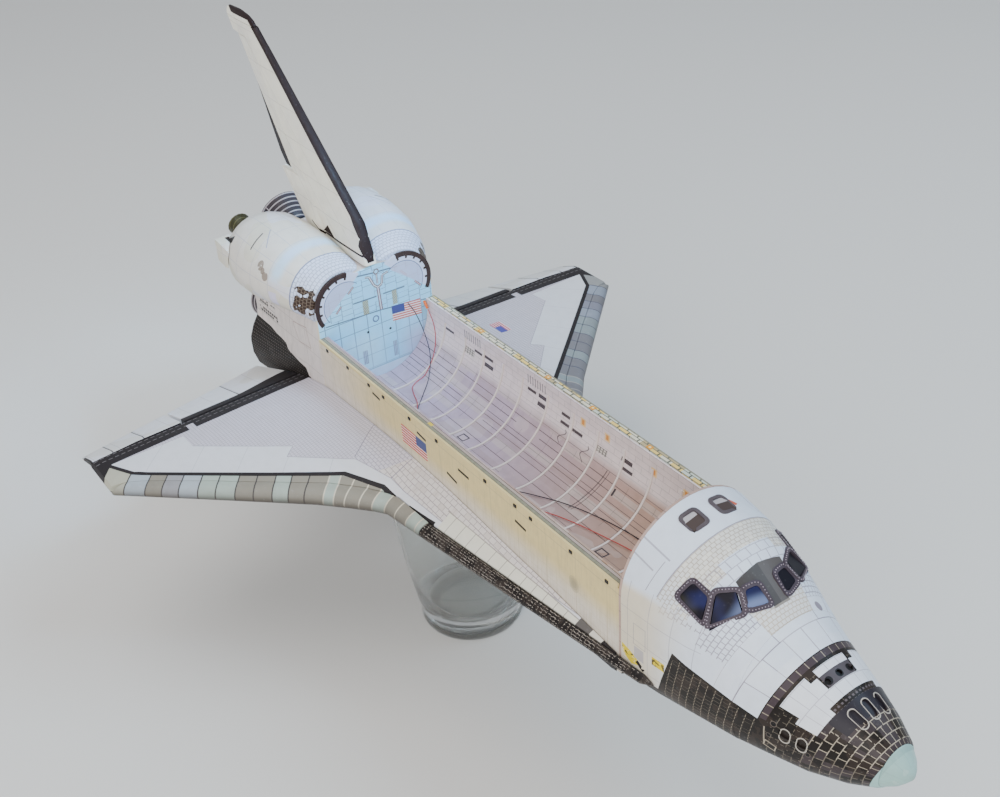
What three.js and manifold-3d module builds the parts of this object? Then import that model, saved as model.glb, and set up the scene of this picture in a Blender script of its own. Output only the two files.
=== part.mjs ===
// A paper scale model of a winged space shuttle orbiter, one hundredth of full size, with its
// payload bay open and doorless, standing on an upright drinking glass. Millimetres, +X to the
// nose, +Y to port, +Z up, origin on the table below the middle of the model.

import * as THREE from 'three';
import { mergeVertices } from 'three/addons/utils/BufferGeometryUtils.js';
import Module from 'manifold-3d';

const wasm = await Module();
wasm.setup();

// Driving dimensions. Full-size places are given in inches: stations count aft along the craft,
// waterlines count up, and buttocks count sideways from the centreline.
const SCALE = 1 / 100;
const INCH = 25.4 * SCALE;
const MID_STATION = 968.5;
const BELLY_WATERLINE = 267;
const GLASS_HEIGHT = 80;
const GAP = 0.3;

const along = (station) => (MID_STATION - station) * INCH;
const up = (waterline) => GLASS_HEIGHT + (waterline - BELLY_WATERLINE) * INCH;
const side = (buttock) => buttock * INCH;
const BELLY = GLASS_HEIGHT;

const NOSE_TIP = 236;
const NOSE_CAP_END = 258;
const MODULE_END = 415;
const CABIN_END = 582;
const BAY_END = 1307;
const BODY_END = 1524;
const HINGE_STATION = 1387;

const BAY_RADIUS = side(90);
const BAY_AXIS = up(400);
const SILL_TOP = up(416);
const LINER = 0.6;
const WIRE = 0.5;
const SLEEVE = 1.2;

// Colours, roughness and metalness of the printed card and the other pieces.
const FINISHES = {
  whiteCard: ['#d9dce4', 0.55, 0],
  creamCard: ['#cdc6ae', 0.6, 0],
  lavenderCard: ['#c5c3cb', 0.6, 0],
  liningCard: ['#b8abac', 0.65, 0],
  blueCard: ['#b3d2ea', 0.6, 0],
  blackCard: ['#2b2626', 0.6, 0],
  darkCard: ['#3b3533', 0.55, 0],
  capCard: ['#b8cfc8', 0.5, 0],
  edgeCard: ['#a8aca4', 0.55, 0],
  sillCard: ['#8e8c78', 0.6, 0],
  paneCard: ['#23243a', 0.3, 0],
  bronzeCard: ['#6d6a45', 0.45, 0.2],
  bellCard: ['#4a3f4c', 0.5, 0.1],
  redWire: ['#c0443c', 0.4, 0],
  blackWire: ['#1d1c22', 0.4, 0],
  orangeSleeve: ['#d9662c', 0.45, 0],
  glass: ['#dfe6e4', 0.05, 0],
};

const model = new THREE.Group();

/** Adds one named piece of the given finish to the model. */
function addPart(name, geometry, finish) {
  const [color, roughness, metalness] = FINISHES[finish];
  const material = new THREE.MeshStandardMaterial({ color, roughness, metalness });
  const mesh = new THREE.Mesh(geometry, material);
  mesh.name = name;
  model.add(mesh);
  return mesh;
}

// Solids

/** Keeps only positions, so that shared corners can be merged. */
function bare(geometry) {
  const plain = geometry.index ? geometry.toNonIndexed() : geometry.clone();
  plain.deleteAttribute('normal');
  plain.deleteAttribute('uv');
  return mergeVertices(plain, 1e-4);
}

/** Turns a closed geometry into a solid that can be joined and cut. */
function solid(geometry) {
  const merged = bare(geometry);
  return new wasm.Manifold(new wasm.Mesh({
    numProp: 3,
    vertProperties: Float32Array.from(merged.attributes.position.array),
    triVerts: Uint32Array.from(merged.index.array),
  }));
}

/** Turns a solid back into a geometry. */
function shell(body) {
  const mesh = body.getMesh();
  const geometry = new THREE.BufferGeometry();
  const corners = Float32Array.from(mesh.vertProperties);
  geometry.setAttribute('position', new THREE.BufferAttribute(corners, 3));
  geometry.setIndex(Array.from(mesh.triVerts));
  return geometry;
}

const cut = (geometry, ...tools) => shell(
  tools.reduce((rest, tool) => rest.subtract(solid(tool)), solid(geometry)));

/** Copies a geometry to the other side of the centre plane. */
function mirrored(geometry) {
  const twin = bare(geometry);
  twin.scale(1, -1, 1);
  const order = twin.index.array;
  for (let i = 0; i < order.length; i += 3) {
    [order[i], order[i + 1]] = [order[i + 1], order[i]];
  }
  return twin;
}

/** Adds a piece to port, and its mirror image to starboard. */
function addPair(name, geometry, finish) {
  addPart(`${name}_left`, geometry, finish);
  addPart(`${name}_right`, mirrored(geometry), finish);
}

/** Skins a row of rings, which all have the same number of corners, and closes both ends. */
function loft(rings) {
  const count = rings[0].length;
  const corners = rings.flat();
  const triangles = [];
  for (let r = 0; r + 1 < rings.length; r += 1) {
    for (let i = 0; i < count; i += 1) {
      const a = r * count + i;
      const b = r * count + ((i + 1) % count);
      triangles.push([a, b, b + count], [a, b + count, a + count]);
    }
  }
  for (const [ring, start] of [[rings[0], 0], [rings.at(-1), (rings.length - 1) * count]]) {
    const centre = new THREE.Vector3();
    ring.forEach((corner) => centre.addScaledVector(corner, 1 / count));
    const hub = corners.length;
    corners.push(centre);
    for (let i = 0; i < count; i += 1) {
      const next = (i + 1) % count;
      triangles.push(start === 0
        ? [hub, start + next, start + i]
        : [hub, start + i, start + next]);
    }
  }
  let volume = 0;
  for (const [a, b, c] of triangles) {
    volume += corners[a].dot(new THREE.Vector3().crossVectors(corners[b], corners[c]));
  }
  const order = volume < 0 ? triangles.map(([a, b, c]) => [a, c, b]) : triangles;
  const geometry = new THREE.BufferGeometry().setFromPoints(corners);
  geometry.setIndex(order.flat());
  return geometry;
}

/** A flat outline in the YZ plane, made into a plate from one place along X to another. */
function plateAcross(shape, from, to, curveSegments = 24) {
  const geometry = new THREE.ExtrudeGeometry(shape, {
    depth: Math.abs(to - from), bevelEnabled: false, curveSegments,
  });
  const turn = new THREE.Matrix4().makeBasis(
    new THREE.Vector3(0, 1, 0), new THREE.Vector3(0, 0, 1), new THREE.Vector3(1, 0, 0));
  turn.setPosition(Math.min(from, to), 0, 0);
  return geometry.applyMatrix4(turn);
}

/** A box given by its two corners. */
function block(x0, x1, y0, y1, z0, z1) {
  return new THREE.BoxGeometry(x1 - x0, y1 - y0, z1 - z0)
    .translate((x0 + x1) / 2, (y0 + y1) / 2, (z0 + z1) / 2);
}

/** Reads a table of rows at a place, with a straight line between two rows. */
function readTable(rows, place) {
  let i = 0;
  while (i + 2 < rows.length && place > rows[i + 1][0]) i += 1;
  const [low, high] = [rows[i], rows[i + 1]];
  const t = THREE.MathUtils.clamp((place - low[0]) / (high[0] - low[0]), 0, 1);
  return low.map((value, k) => value + (high[k] - value) * t);
}

// Body sections

// Columns: station, top, bottom, half width, height of the widest place (inches), and the
// powers of the upper and lower curves, where 2 is an ellipse and more is boxier.
const BODY_SECTIONS = [
  [236, 340, 331, 4, 335, 2, 2],
  [240, 346, 325, 11, 334, 2, 2],
  [246, 354, 317, 18, 333, 2, 2],
  [262, 366, 304, 31, 332, 2, 2.2],
  [290, 381, 290, 45, 330, 2, 2.4],
  [330, 397, 280, 60, 328, 2, 2.8],
  [380, 414, 273, 74, 334, 2, 3.2],
  [415, 428, 270, 84, 340, 2.05, 3.6],
  [480, 474, 268, 97, 358, 2.1, 4.6],
  [530, 492, 267, 102, 380, 2.05, 7],
  [582, 498, 267, 105, 398, 2, 11],
  [1307, 505, 267, 105, 398, 2, 14],
  [1361, 506, 267, 105, 398, 2, 14],
  [1440, 507, 267, 106, 398, 2, 13],
  [1524, 507, 269, 107, 398, 2, 12],
];
const RING_CORNERS = 48;

// The lower sides of the aft body swell outwards towards the tail.
const FLARE = { from: 1350, to: 1524, out: 5.6, high: 27, full: 15 };

/** How far the side stands out below the shoulders at a station and a height (mm). */
function flareAt(station, z) {
  const aft = THREE.MathUtils.clamp((station - FLARE.from) / (FLARE.to - FLARE.from), 0, 1);
  const low = THREE.MathUtils.smoothstep(BELLY + FLARE.high - z, 0, FLARE.high - FLARE.full);
  return FLARE.out * aft * low;
}

/** One place on the body's skin: an angle of 0 is to port, 90 is the top. */
function skinPoint(station, degrees, inset = 0) {
  const [, top, bottom, half, widest, upper, lower] = readTable(BODY_SECTIONS, station);
  const angle = THREE.MathUtils.degToRad(degrees);
  const [c, s] = [Math.cos(angle), Math.sin(angle)];
  const power = s > 0 ? upper : lower;
  const reach = (Math.abs(c) ** power + Math.abs(s) ** power) ** (-1 / power);
  const height = (s > 0 ? top - widest : widest - bottom) * INCH - inset;
  const z = up(widest) + height * reach * s;
  const y = (side(half) - inset + flareAt(station, z)) * reach * c;
  return new THREE.Vector3(along(station), y, z);
}

/** The closed ring of the body at a station. */
function bodyRing(station, inset = 0) {
  return Array.from({ length: RING_CORNERS },
    (_, i) => skinPoint(station, (360 * i) / RING_CORNERS, inset));
}

/** A length of body between two stations, with the table's own sections in between. */
function bodyLength(from, to, inset = 0) {
  const between = BODY_SECTIONS.map(([s]) => s).filter((s) => s > from + 1 && s < to - 1);
  return loft([from, ...between, to].map((station) => bodyRing(station, inset)));
}

// Nose and thruster ports

/** A short oval plug through the skin, used to sink a port into it. */
function portTool(station, degrees, long, wide, depth) {
  const centre = skinPoint(station, degrees);
  const ahead = skinPoint(station - 4, degrees).sub(skinPoint(station + 4, degrees)).normalize();
  const around = skinPoint(station, degrees + 4).sub(skinPoint(station, degrees - 4)).normalize();
  const out = new THREE.Vector3().crossVectors(ahead, around);
  if (out.dot(new THREE.Vector3(0, centre.y, centre.z - up(340))) < 0) out.negate();
  const tool = new THREE.CylinderGeometry(0.5, 0.5, 2 * depth, 10).rotateX(Math.PI / 2);
  const frame = new THREE.Matrix4().makeBasis(
    ahead.multiplyScalar(long), new THREE.Vector3().crossVectors(out, ahead).normalize()
      .multiplyScalar(wide), out);
  if (frame.determinant() < 0) frame.scale(new THREE.Vector3(1, -1, 1));
  return tool.applyMatrix4(frame.setPosition(centre));
}

// Columns: station, angle around the body, length and width of the port.
const NOSE_PORTS = [
  [301, 90, 6, 2.4], [301, 70, 6, 2.4], [301, 110, 6, 2.4],
  [345, 90, 1.8, 1.8], [345, 74, 1.8, 1.8], [345, 106, 1.8, 1.8],
  [336, 9, 4, 2.6], [355, 8, 4, 2.6], [336, 171, 4, 2.6], [355, 172, 4, 2.6],
];

function buildNose() {
  addPart('nose_cap', bodyLength(NOSE_TIP, NOSE_CAP_END - GAP / INCH), 'capCard');
  const ports = NOSE_PORTS.map(([station, degrees, long, wide]) => (
    portTool(station, degrees, long, wide, 0.8)));
  addPart('forward_module', cut(bodyLength(NOSE_CAP_END, MODULE_END - GAP / INCH), ...ports),
    'blackCard');
}

// Cabin and its windows

// Columns: name, then four corners as station and angle, to starboard of the centreline.
const WINDOWS = [
  ['window_front', [[437, 97], [459, 98], [464, 110], [445, 116]]],
  ['window_middle', [[447, 119], [465, 113.5], [479, 125], [465, 144.5]]],
  ['window_side', [[475, 145.5], [482, 129], [505, 130], [513, 144]]],
  ['window_overhead', [[539, 96], [563, 96.5], [565, 109], [539, 109]]],
];

/** A prism through the skin, whose outline is a window's corners moved inwards by an inset. */
function windowPrism(corners, inset, outward, inward) {
  const points = corners.map(([station, degrees]) => skinPoint(station, degrees));
  const centre = new THREE.Vector3();
  points.forEach((point) => centre.addScaledVector(point, 1 / points.length));
  const out = new THREE.Vector3().crossVectors(
    points[2].clone().sub(points[0]), points[3].clone().sub(points[1])).normalize();
  if (out.z < 0) out.negate();
  const rings = [outward, -inward].map((offset) => points.map((point) => {
    const reach = point.clone().sub(centre);
    reach.addScaledVector(out, -reach.dot(out));
    reach.setLength(reach.length() - inset);
    return centre.clone().add(reach).addScaledVector(out, offset);
  }));
  return loft(rings);
}

function buildCabin() {
  const hollow = bodyLength(MODULE_END + 12, CABIN_END + 4, 1.1);
  const openings = [];
  for (const [, corners] of WINDOWS) {
    const opening = windowPrism(corners, 0, 4, 4);
    openings.push(opening, mirrored(opening));
  }
  addPart('cabin_shell', cut(bodyLength(MODULE_END, CABIN_END), hollow, ...openings), 'whiteCard');
  for (const [name, corners] of WINDOWS) {
    const pane = windowPrism(corners, 0.45, 0.05, 0.75);
    addPart(`${name}_right`, pane, 'paneCard');
    addPart(`${name}_left`, mirrored(pane), 'paneCard');
  }
}

// Payload bay

/** The aft bulkhead's outline: the body's ring, raised where the two pods start behind it. */
function aftOutline() {
  const [, podY, podZ, wide, high] = POD_SECTIONS[0];
  const body = bodyRing(BAY_END);
  return body.map((point) => {
    const y = Math.abs(point.y);
    const reach = (y - podY) / wide;
    const lobe = Math.abs(reach) < 1 ? BELLY + podZ + high * Math.sqrt(1 - reach ** 2) : 0;
    return new THREE.Vector3(point.x, point.y, point.z > BAY_AXIS ? Math.max(point.z, lobe)
      : point.z);
  });
}

function buildBay() {
  const front = along(CABIN_END) - GAP;
  const back = along(BAY_END);
  const plate = 0.9;
  const bulkhead = (ring, from, to) => loft([from, to].map(
    (x) => ring.map((p) => new THREE.Vector3(x, p.y, p.z))));
  addPart('forward_bulkhead', bulkhead(bodyRing(CABIN_END), front, front - plate),
    'liningCard');
  addPart('aft_bulkhead', bulkhead(aftOutline(), back, back + plate), 'blueCard');

  const bayFront = front - plate - GAP;
  const bayBack = back + plate + GAP;
  const half = side(105);
  const corner = 3;
  const trough = BAY_RADIUS + LINER + GAP;
  const walls = new THREE.Shape();
  walls.moveTo(-half, SILL_TOP - 1.4);
  walls.lineTo(-half, BELLY + corner);
  walls.absarc(-half + corner, BELLY + corner, corner, Math.PI, 1.5 * Math.PI, false);
  walls.absarc(half - corner, BELLY + corner, corner, 1.5 * Math.PI, 2 * Math.PI, false);
  walls.lineTo(half, SILL_TOP - 1.4);
  walls.lineTo(trough, SILL_TOP - 1.4);
  walls.absarc(0, BAY_AXIS, trough, 0, -Math.PI, true);
  walls.lineTo(-trough, SILL_TOP - 1.4);
  addPart('mid_fuselage', plateAcross(walls, bayBack, bayFront), 'creamCard');

  const liner = new THREE.Shape();
  liner.moveTo(BAY_RADIUS, SILL_TOP);
  liner.lineTo(BAY_RADIUS, BAY_AXIS);
  liner.absarc(0, BAY_AXIS, BAY_RADIUS, 0, -Math.PI, true);
  liner.lineTo(-BAY_RADIUS, SILL_TOP);
  liner.lineTo(-BAY_RADIUS - LINER, SILL_TOP);
  liner.lineTo(-BAY_RADIUS - LINER, BAY_AXIS);
  liner.absarc(0, BAY_AXIS, BAY_RADIUS + LINER, -Math.PI, 0, false);
  liner.lineTo(BAY_RADIUS + LINER, SILL_TOP);
  addPart('bay_liner', plateAcross(liner, bayBack, bayFront, 28), 'liningCard');

  const sill = block(bayBack, bayFront, trough, half + 0.2, SILL_TOP - 1.4 + GAP, SILL_TOP);
  addPair('sill', sill, 'sillCard');
}

// Aft body, engines and body flap

function buildAftBody() {
  const start = BAY_END + GAP / INCH;
  addPart('aft_fuselage', bodyLength(start, BODY_END - GAP / INCH), 'creamCard');
  const rim = bodyRing(BODY_END, 0.8);
  const plate = loft([rim, rim.map((p) => p.clone().add(new THREE.Vector3(-1.2, 0, 0)))]);
  addPart('base_heat_shield', plate, 'darkCard');

  // Columns: name, buttock and waterline of the dome's centre, pitch and yaw in degrees, and
  // the distance from the base to the bell's rim (mm).
  const engines = [
    ['top', 0, 466, 18, 0, 18.5],
    ['left', 47, 348, 8, 3.5, 14],
    ['right', -47, 348, 8, -3.5, 14],
  ];
  const mouth = side(43.5);
  const neck = side(26);
  const wall = 0.6;
  const steps = 6;
  const domeHeight = 4.6;
  const domeRadius = side(37);
  const domeArc = 0.9;
  const crown = domeRadius * Math.cos(domeArc);
  const dome = [new THREE.Vector2(0, 0)];
  for (let i = 0; i <= 4; i += 1) {
    const a = (i / 4) * domeArc;
    dome.push(new THREE.Vector2(
      domeRadius * Math.cos(a), (domeHeight * Math.sin(a)) / Math.sin(domeArc)));
  }
  dome.push(new THREE.Vector2(0, domeHeight));
  for (const [name, buttock, waterline, pitch, yaw, reach] of engines) {
    const lean = THREE.MathUtils.degToRad(Math.hypot(pitch, yaw));
    const slope = Math.tan(lean);
    const start = (domeHeight + GAP / Math.cos(lean) + crown * slope) / (1 + slope ** 2);
    const bellLength = reach - start;
    const profile = [];
    for (let i = 0; i <= steps; i += 1) {
      const t = i / steps;
      profile.push(new THREE.Vector2(neck + (mouth - neck) * t ** 0.7, bellLength * t));
    }
    const inner = profile.map((p) => new THREE.Vector2(p.x - wall, p.y)).reverse();
    inner[steps].y = wall;
    const closed = [new THREE.Vector2(0, 0), ...profile, ...inner, new THREE.Vector2(0, wall)];
    const place = new THREE.Matrix4().makeTranslation(
      along(BODY_END) - 1.2 - GAP, side(buttock), up(waterline));
    const aft = new THREE.Matrix4().makeRotationZ(Math.PI / 2);
    const tilt = new THREE.Matrix4().makeRotationZ(THREE.MathUtils.degToRad(-yaw))
      .multiply(new THREE.Matrix4().makeRotationY(THREE.MathUtils.degToRad(pitch)));
    addPart(`engine_dome_${name}`,
      new THREE.LatheGeometry(dome, 20).applyMatrix4(place.clone().multiply(aft)), 'darkCard');
    const bell = new THREE.LatheGeometry(closed, 24).applyMatrix4(aft)
      .translate(-start / Math.cos(lean), 0, 0).applyMatrix4(tilt).applyMatrix4(place);
    addPart(`engine_bell_${name}`, bell, 'bellCard');
  }

  const flap = new THREE.Shape([
    [along(BODY_END) - 1.5, up(268)], [along(BODY_END) - 1.5, up(282)],
    [along(1580), up(274)], [along(1580), up(270)],
  ].map(([x, z]) => new THREE.Vector2(x, z)));
  const flapHalf = side(84);
  const body = new THREE.ExtrudeGeometry(flap, { depth: 2 * flapHalf, bevelEnabled: false })
    .rotateX(Math.PI / 2).translate(0, flapHalf, 0);
  addPart('body_flap', body, 'darkCard');
}

// Wings

// Columns: place along X (mm), height of the wing's root above the belly (mm).
const ROOT_TOP = [
  [-107, 12], [-84, 16.5], [-38, 18.8], [0, 18.2], [20, 16.8], [42, 14.5], [70, 13], [90, 10.2],
  [114, 7.6],
];

// Columns: station and buttock of the leading edge in plan, half height of the rounded edge (mm)
// and depth of the edge panels along Y (mm).
const EDGE_PLAN = [
  [528, 101, 1.4, 1.6],
  [545, 110.5, 2.2, 1.8],
  [940, 168, 3, 4.4],
  [1011, 178, 3.4, 6],
  [1030, 190, 3.6, 7],
  [1060, 215, 3.8, 8.5],
  [1100, 250, 4, 9],
  [1220, 378, 3.2, 8.5],
  [1290, 453, 2.6, 7.5],
  [1304, 468, 2.4, 6],
  [1312, 468, 2.4, 1.2],
  [HINGE_STATION, 468, 2.2, 1.2],
];
const WING_STATIONS = [
  528, 545, 590, 640, 720, 800, 870, 940, 975, 1011, 1030, 1060, 1100, 1150, 1220, 1290, 1304,
  1312, 1350, HINGE_STATION,
];
const PANEL_START = 940;
const GLOVE_START = 590;
const EDGE_HEIGHT = 7.6;
const ROOT_SIDE = side(105.5);
const WING_ROOT = side(90);

/** Heights of the upper and lower skin at a station, a distance inboard of the edge. */
function wingHeights(station, inboard) {
  const [, edge, nose, depth] = readTable(EDGE_PLAN, station);
  const [, root] = readTable(ROOT_TOP, along(station));
  const curve = Math.min(inboard / Math.max(depth, 2.5), 1);
  const round = Math.sqrt(1 - (1 - curve) ** 2);
  const span = Math.max(side(edge) - ROOT_SIDE - depth, 1);
  const rest = THREE.MathUtils.clamp((inboard - depth) / span, 0, 1);
  const rise = Math.max(root - EDGE_HEIGHT - nose, 0) * rest ** 0.9;
  const drop = (EDGE_HEIGHT - nose - 0.8) * rest ** 0.7;
  return [BELLY + EDGE_HEIGHT + nose * round + rise, BELLY + EDGE_HEIGHT - nose * round - drop];
}

/** A closed ring through the wing at a station, between two distances inboard of the edge. */
function wingRing(station, from, to, steps) {
  const edge = side(readTable(EDGE_PLAN, station)[1]);
  const upper = [];
  const lower = [];
  for (let i = 0; i <= steps; i += 1) {
    const t = i / steps;
    const inboard = from + (to - from) * t * t;
    const [high, low] = wingHeights(station, inboard);
    upper.push(new THREE.Vector3(along(station), edge - inboard, high + (inboard === 0 ? 0.1 : 0)));
    lower.push(new THREE.Vector3(along(station), edge - inboard, low - (inboard === 0 ? 0.1 : 0)));
  }
  return [...upper, ...lower.reverse()];
}

function buildWings() {
  const panelDepth = (station) => readTable(EDGE_PLAN, station)[3];
  const wing = loft(WING_STATIONS.filter((s) => s >= GLOVE_START).map((station) => {
    const full = side(readTable(EDGE_PLAN, station)[1]) - WING_ROOT;
    const start = station > 1306 ? 0 : Math.min(panelDepth(station) + GAP, full * 0.6);
    return wingRing(station, start, full, 10);
  }));
  const body = [
    bodyLength(MODULE_END, CABIN_END + 2, -GAP),
    block(along(BAY_END) - 4, along(CABIN_END) + 1, -side(105) - GAP, side(105) + GAP,
      BELLY - 1, BELLY + 30),
    bodyLength(BAY_END - 2, BODY_END, -GAP),
  ];
  addPair('wing', cut(wing, ...body), 'lavenderCard');

  const panels = WING_STATIONS.filter((s) => s >= PANEL_START && s <= 1304);
  const edge = loft(panels.map((station) => wingRing(station, 0, panelDepth(station), 6)));
  addPair('leading_edge', edge, 'edgeCard');

  const strake = WING_STATIONS.filter((s) => s < PANEL_START);
  const depthAt = (station) => {
    const full = side(readTable(EDGE_PLAN, station)[1]) - WING_ROOT;
    return Math.min(panelDepth(station), full * 0.6 - GAP);
  };
  const dark = loft([...strake, PANEL_START - GAP / INCH].map(
    (station) => wingRing(station, 0, Math.max(depthAt(station), 0.4), 6)));
  addPair('strake_edge', cut(dark, body[0]), 'blackCard');
}

/** One elevon between two distances from the centre, its inner end leaning outwards aft. */
function elevon(from, to, lean) {
  const hinge = along(HINGE_STATION) - GAP;
  const ring = (y, slant) => {
    const trail = -141.4 + 0.1773 * y;
    const [high, low] = wingHeights(HINGE_STATION, side(468) - y);
    const middle = (high + low) / 2;
    const thick = high - low;
    return [
      [hinge, middle + thick * 0.18], [hinge - 1, high - 0.25], [hinge - 3, high - 0.5],
      [trail, BELLY + 3.9], [trail, BELLY + 3.1],
      [hinge - 3, low + 0.2], [hinge - 1, low], [hinge, middle - thick * 0.18],
    ].map(([x, z]) => new THREE.Vector3(
      x, y + (slant * (x - hinge)) / (trail - hinge), z));
  };
  return loft([ring(from, lean), ring((from + to) / 2, 0), ring(to, 0)]);
}

function buildElevons() {
  addPair('elevon_inboard', elevon(28.6, 79.4, 5.6), 'whiteCard');
  addPair('elevon_outboard', elevon(80.9, 118.4, 0), 'whiteCard');
}

// Fin, rudder and parachute housing

const FIN_ROOT = { front: -71.7, hinge: -113, back: -129.5, z: 61.2, half: 2.9 };
const FIN_TIP = { front: -157.4, hinge: -171, back: -178.7, z: 138.6, half: 1.3 };
const FIN_FOOT = { front: -84.2, lean: -0.31, top: 76.9 };
const RUDDER_TOP = 132.6;
const TIP_OVERHANG = 4;

/** Fin chord places at a height above the belly. */
function finAt(z) {
  const t = (z - FIN_ROOT.z) / (FIN_TIP.z - FIN_ROOT.z);
  const mix = (key) => FIN_ROOT[key] + (FIN_TIP[key] - FIN_ROOT[key]) * t;
  const front = Math.min(mix('front'), FIN_FOOT.front + FIN_FOOT.lean * (z - FIN_ROOT.z));
  return { front, hinge: mix('hinge'), back: mix('back'), half: mix('half') };
}

function buildFin() {
  // Columns: share of the chord from the front, and of the fin's half thickness.
  const CHORD = [[0, 0.5], [0.02, 0.85], [0.08, 0.97], [0.3, 1], [0.62, 1]];
  const ring = (z, aft, aftShare) => {
    const { front, half } = finAt(z);
    const port = [...CHORD, [1, aftShare]].map(([t, w]) => [front + (aft - front) * t, half * w]);
    const star = port.map(([x, y]) => [x, -y]).reverse();
    return [...port, ...star].map(([x, y]) => new THREE.Vector3(x, y, BELLY + z));
  };
  const top = FIN_TIP.z;
  const lower = [FIN_ROOT.z + GAP, FIN_FOOT.top, 105, RUDDER_TOP - 0.4];
  const upper = [RUDDER_TOP, top - 0.5];
  addPart('vertical_fin', loft([
    ...lower.map((z) => ring(z, finAt(z).hinge, 0.86)),
    ...upper.map((z) => ring(z, finAt(z).back - TIP_OVERHANG, 0.35)),
  ]), 'creamCard');

  const rudderFoot = 82;
  const rudderRing = (z) => {
    const { hinge, back, half } = finAt(z);
    const front = hinge - GAP;
    const wide = half * 0.86;
    return [
      [front, wide], [back, 0.45], [back, -0.45], [front, -wide],
    ].map(([x, y]) => new THREE.Vector3(x, y, BELLY + z));
  };
  addPart('rudder', loft([rudderFoot, 110, RUDDER_TOP - 0.4 - GAP].map(rudderRing)), 'creamCard');

  // Columns: height over the fin's top, how far the cap's nose and tail draw in, thickness share.
  const CAP = [[-0.2, 0, 0, 1], [1.4, 1.6, 0.4, 0.95], [2.8, 4.6, 1.4, 0.8], [3.8, 9.6, 3.4, 0.5]];
  const cap = ([rise, nose, tail, share]) => {
    const { front, back, half } = finAt(top);
    const aft = back - TIP_OVERHANG + tail;
    const port = [
      [front - 0.3 - nose, 0.5 * half * share], [front - 3.5 - nose, half * share],
      [aft + 8, half * share], [aft, 0.45 * share],
    ];
    const star = port.map(([x, y]) => [x, -y]).reverse();
    return [...port, ...star].map(([x, y]) => new THREE.Vector3(x, y, BELLY + top + rise));
  };
  addPart('fin_tip', loft(CAP.map(cap)), 'darkCard');

  const housing = (z, grow) => {
    const { hinge, half } = finAt(z);
    const front = hinge - GAP;
    const back = -134.2 - (z - FIN_ROOT.z) * 0.82;
    const wide = half + grow;
    return [
      [front, half * 0.86], [front - 3, wide], [back + 3, wide], [back, 1.1],
      [back, -1.1], [back + 3, -wide], [front - 3, -wide], [front, -half * 0.86],
    ].map(([x, y]) => new THREE.Vector3(x, y, BELLY + z));
  };
  addPart('parachute_housing',
    loft([housing(FIN_ROOT.z + GAP, 0.4), housing(67, 0.9), housing(76, 0.7), housing(81.7, 0)]),
    'creamCard');
}

// Pods on the shoulders

// Columns: place along X, centre Y and Z above the belly, half width, and half heights above
// and below the centre (mm).
const POD_SECTIONS = [
  [-87.3, 13.2, 47, 13.4, 14.6, 8],
  [-91, 14.4, 48.8, 14.4, 15.4, 8.5],
  [-97, 16.2, 50.5, 15.6, 15.9, 9.2],
  [-110, 18.1, 52, 17.5, 17.5, 12],
  [-125, 19.3, 52.3, 18.2, 18, 15],
  [-138, 19.5, 51.9, 17.4, 17.5, 16],
  [-146, 19.2, 51.1, 15.2, 15.8, 16],
  [-150, 18.9, 50.4, 12.8, 13.8, 14.6],
  [-152, 18.4, 50, 10.6, 11.6, 12.6],
];

function buildPods() {
  const inboardFullness = 2.7;
  const ring = ([x, y, z, wide, high, deep], grow = 0) => Array.from({ length: 32 }, (_, i) => {
    const angle = (2 * Math.PI * i) / 32;
    const [c, s] = [Math.cos(angle), Math.sin(angle)];
    const power = c < 0 && s > 0 ? inboardFullness : 2;
    const reach = (Math.abs(c) ** power + Math.abs(s) ** power) ** (-1 / power);
    return new THREE.Vector3(
      x, y + (wide + grow) * reach * c, BELLY + z + ((s > 0 ? high : deep) + grow) * reach * s);
  });
  const whole = loft(POD_SECTIONS.map((row) => ring(row)));
  const bodyTool = bodyLength(BAY_END - 3, BODY_END + 7, -GAP);
  const tunnel = new THREE.CylinderGeometry(12.4, 12.4, 40, 28).rotateZ(Math.PI / 2)
    .translate(along(BODY_END) - 21, 0, BELLY + 51);
  const keel = block(-170, -70, -30, 3.8, BELLY + 20, BELLY + 100);
  addPair('oms_pod', cut(whole, bodyTool, tunnel, keel), 'whiteCard');

  const nozzle = [];
  for (let i = 0; i <= 4; i += 1) {
    const t = i / 4;
    nozzle.push(new THREE.Vector2(2 + 3.1 * t ** 0.6, 7.6 * t));
  }
  const inner = nozzle.map((p) => new THREE.Vector2(p.x - 0.5, p.y)).reverse();
  inner.at(-1).y = 0.6;
  const profile = [new THREE.Vector2(0, 0), ...nozzle, ...inner, new THREE.Vector2(0, 0.6)];
  const engine = new THREE.LatheGeometry(profile, 18).rotateZ(Math.PI / 2)
    .rotateY(THREE.MathUtils.degToRad(12)).translate(-153.2, 20.6, BELLY + 56.2);
  addPair('oms_nozzle', engine, 'bronzeCard');

  // Columns: place along X, inner and outer Y, lower and upper Z (mm).
  const box = loft([
    [-136.5, 33, 35.6, 50.5, 57], [-142, 31, 37.2, 50.5, 60.4], [-148.4, 30, 37.2, 51.5, 60.8],
  ].map(([x, y0, y1, z0, z1]) => [[y0, z0], [y1, z0], [y1, z1], [y0, z1]].map(
    ([y, z]) => new THREE.Vector3(x, y, BELLY + z))));
  const podTool = loft(POD_SECTIONS.map((row) => ring(row, GAP)));
  addPair('thruster_box', cut(box, podTool), 'whiteCard');
}

// Lighting wires in the bay: routes chosen by hand, heights above the belly.

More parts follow.
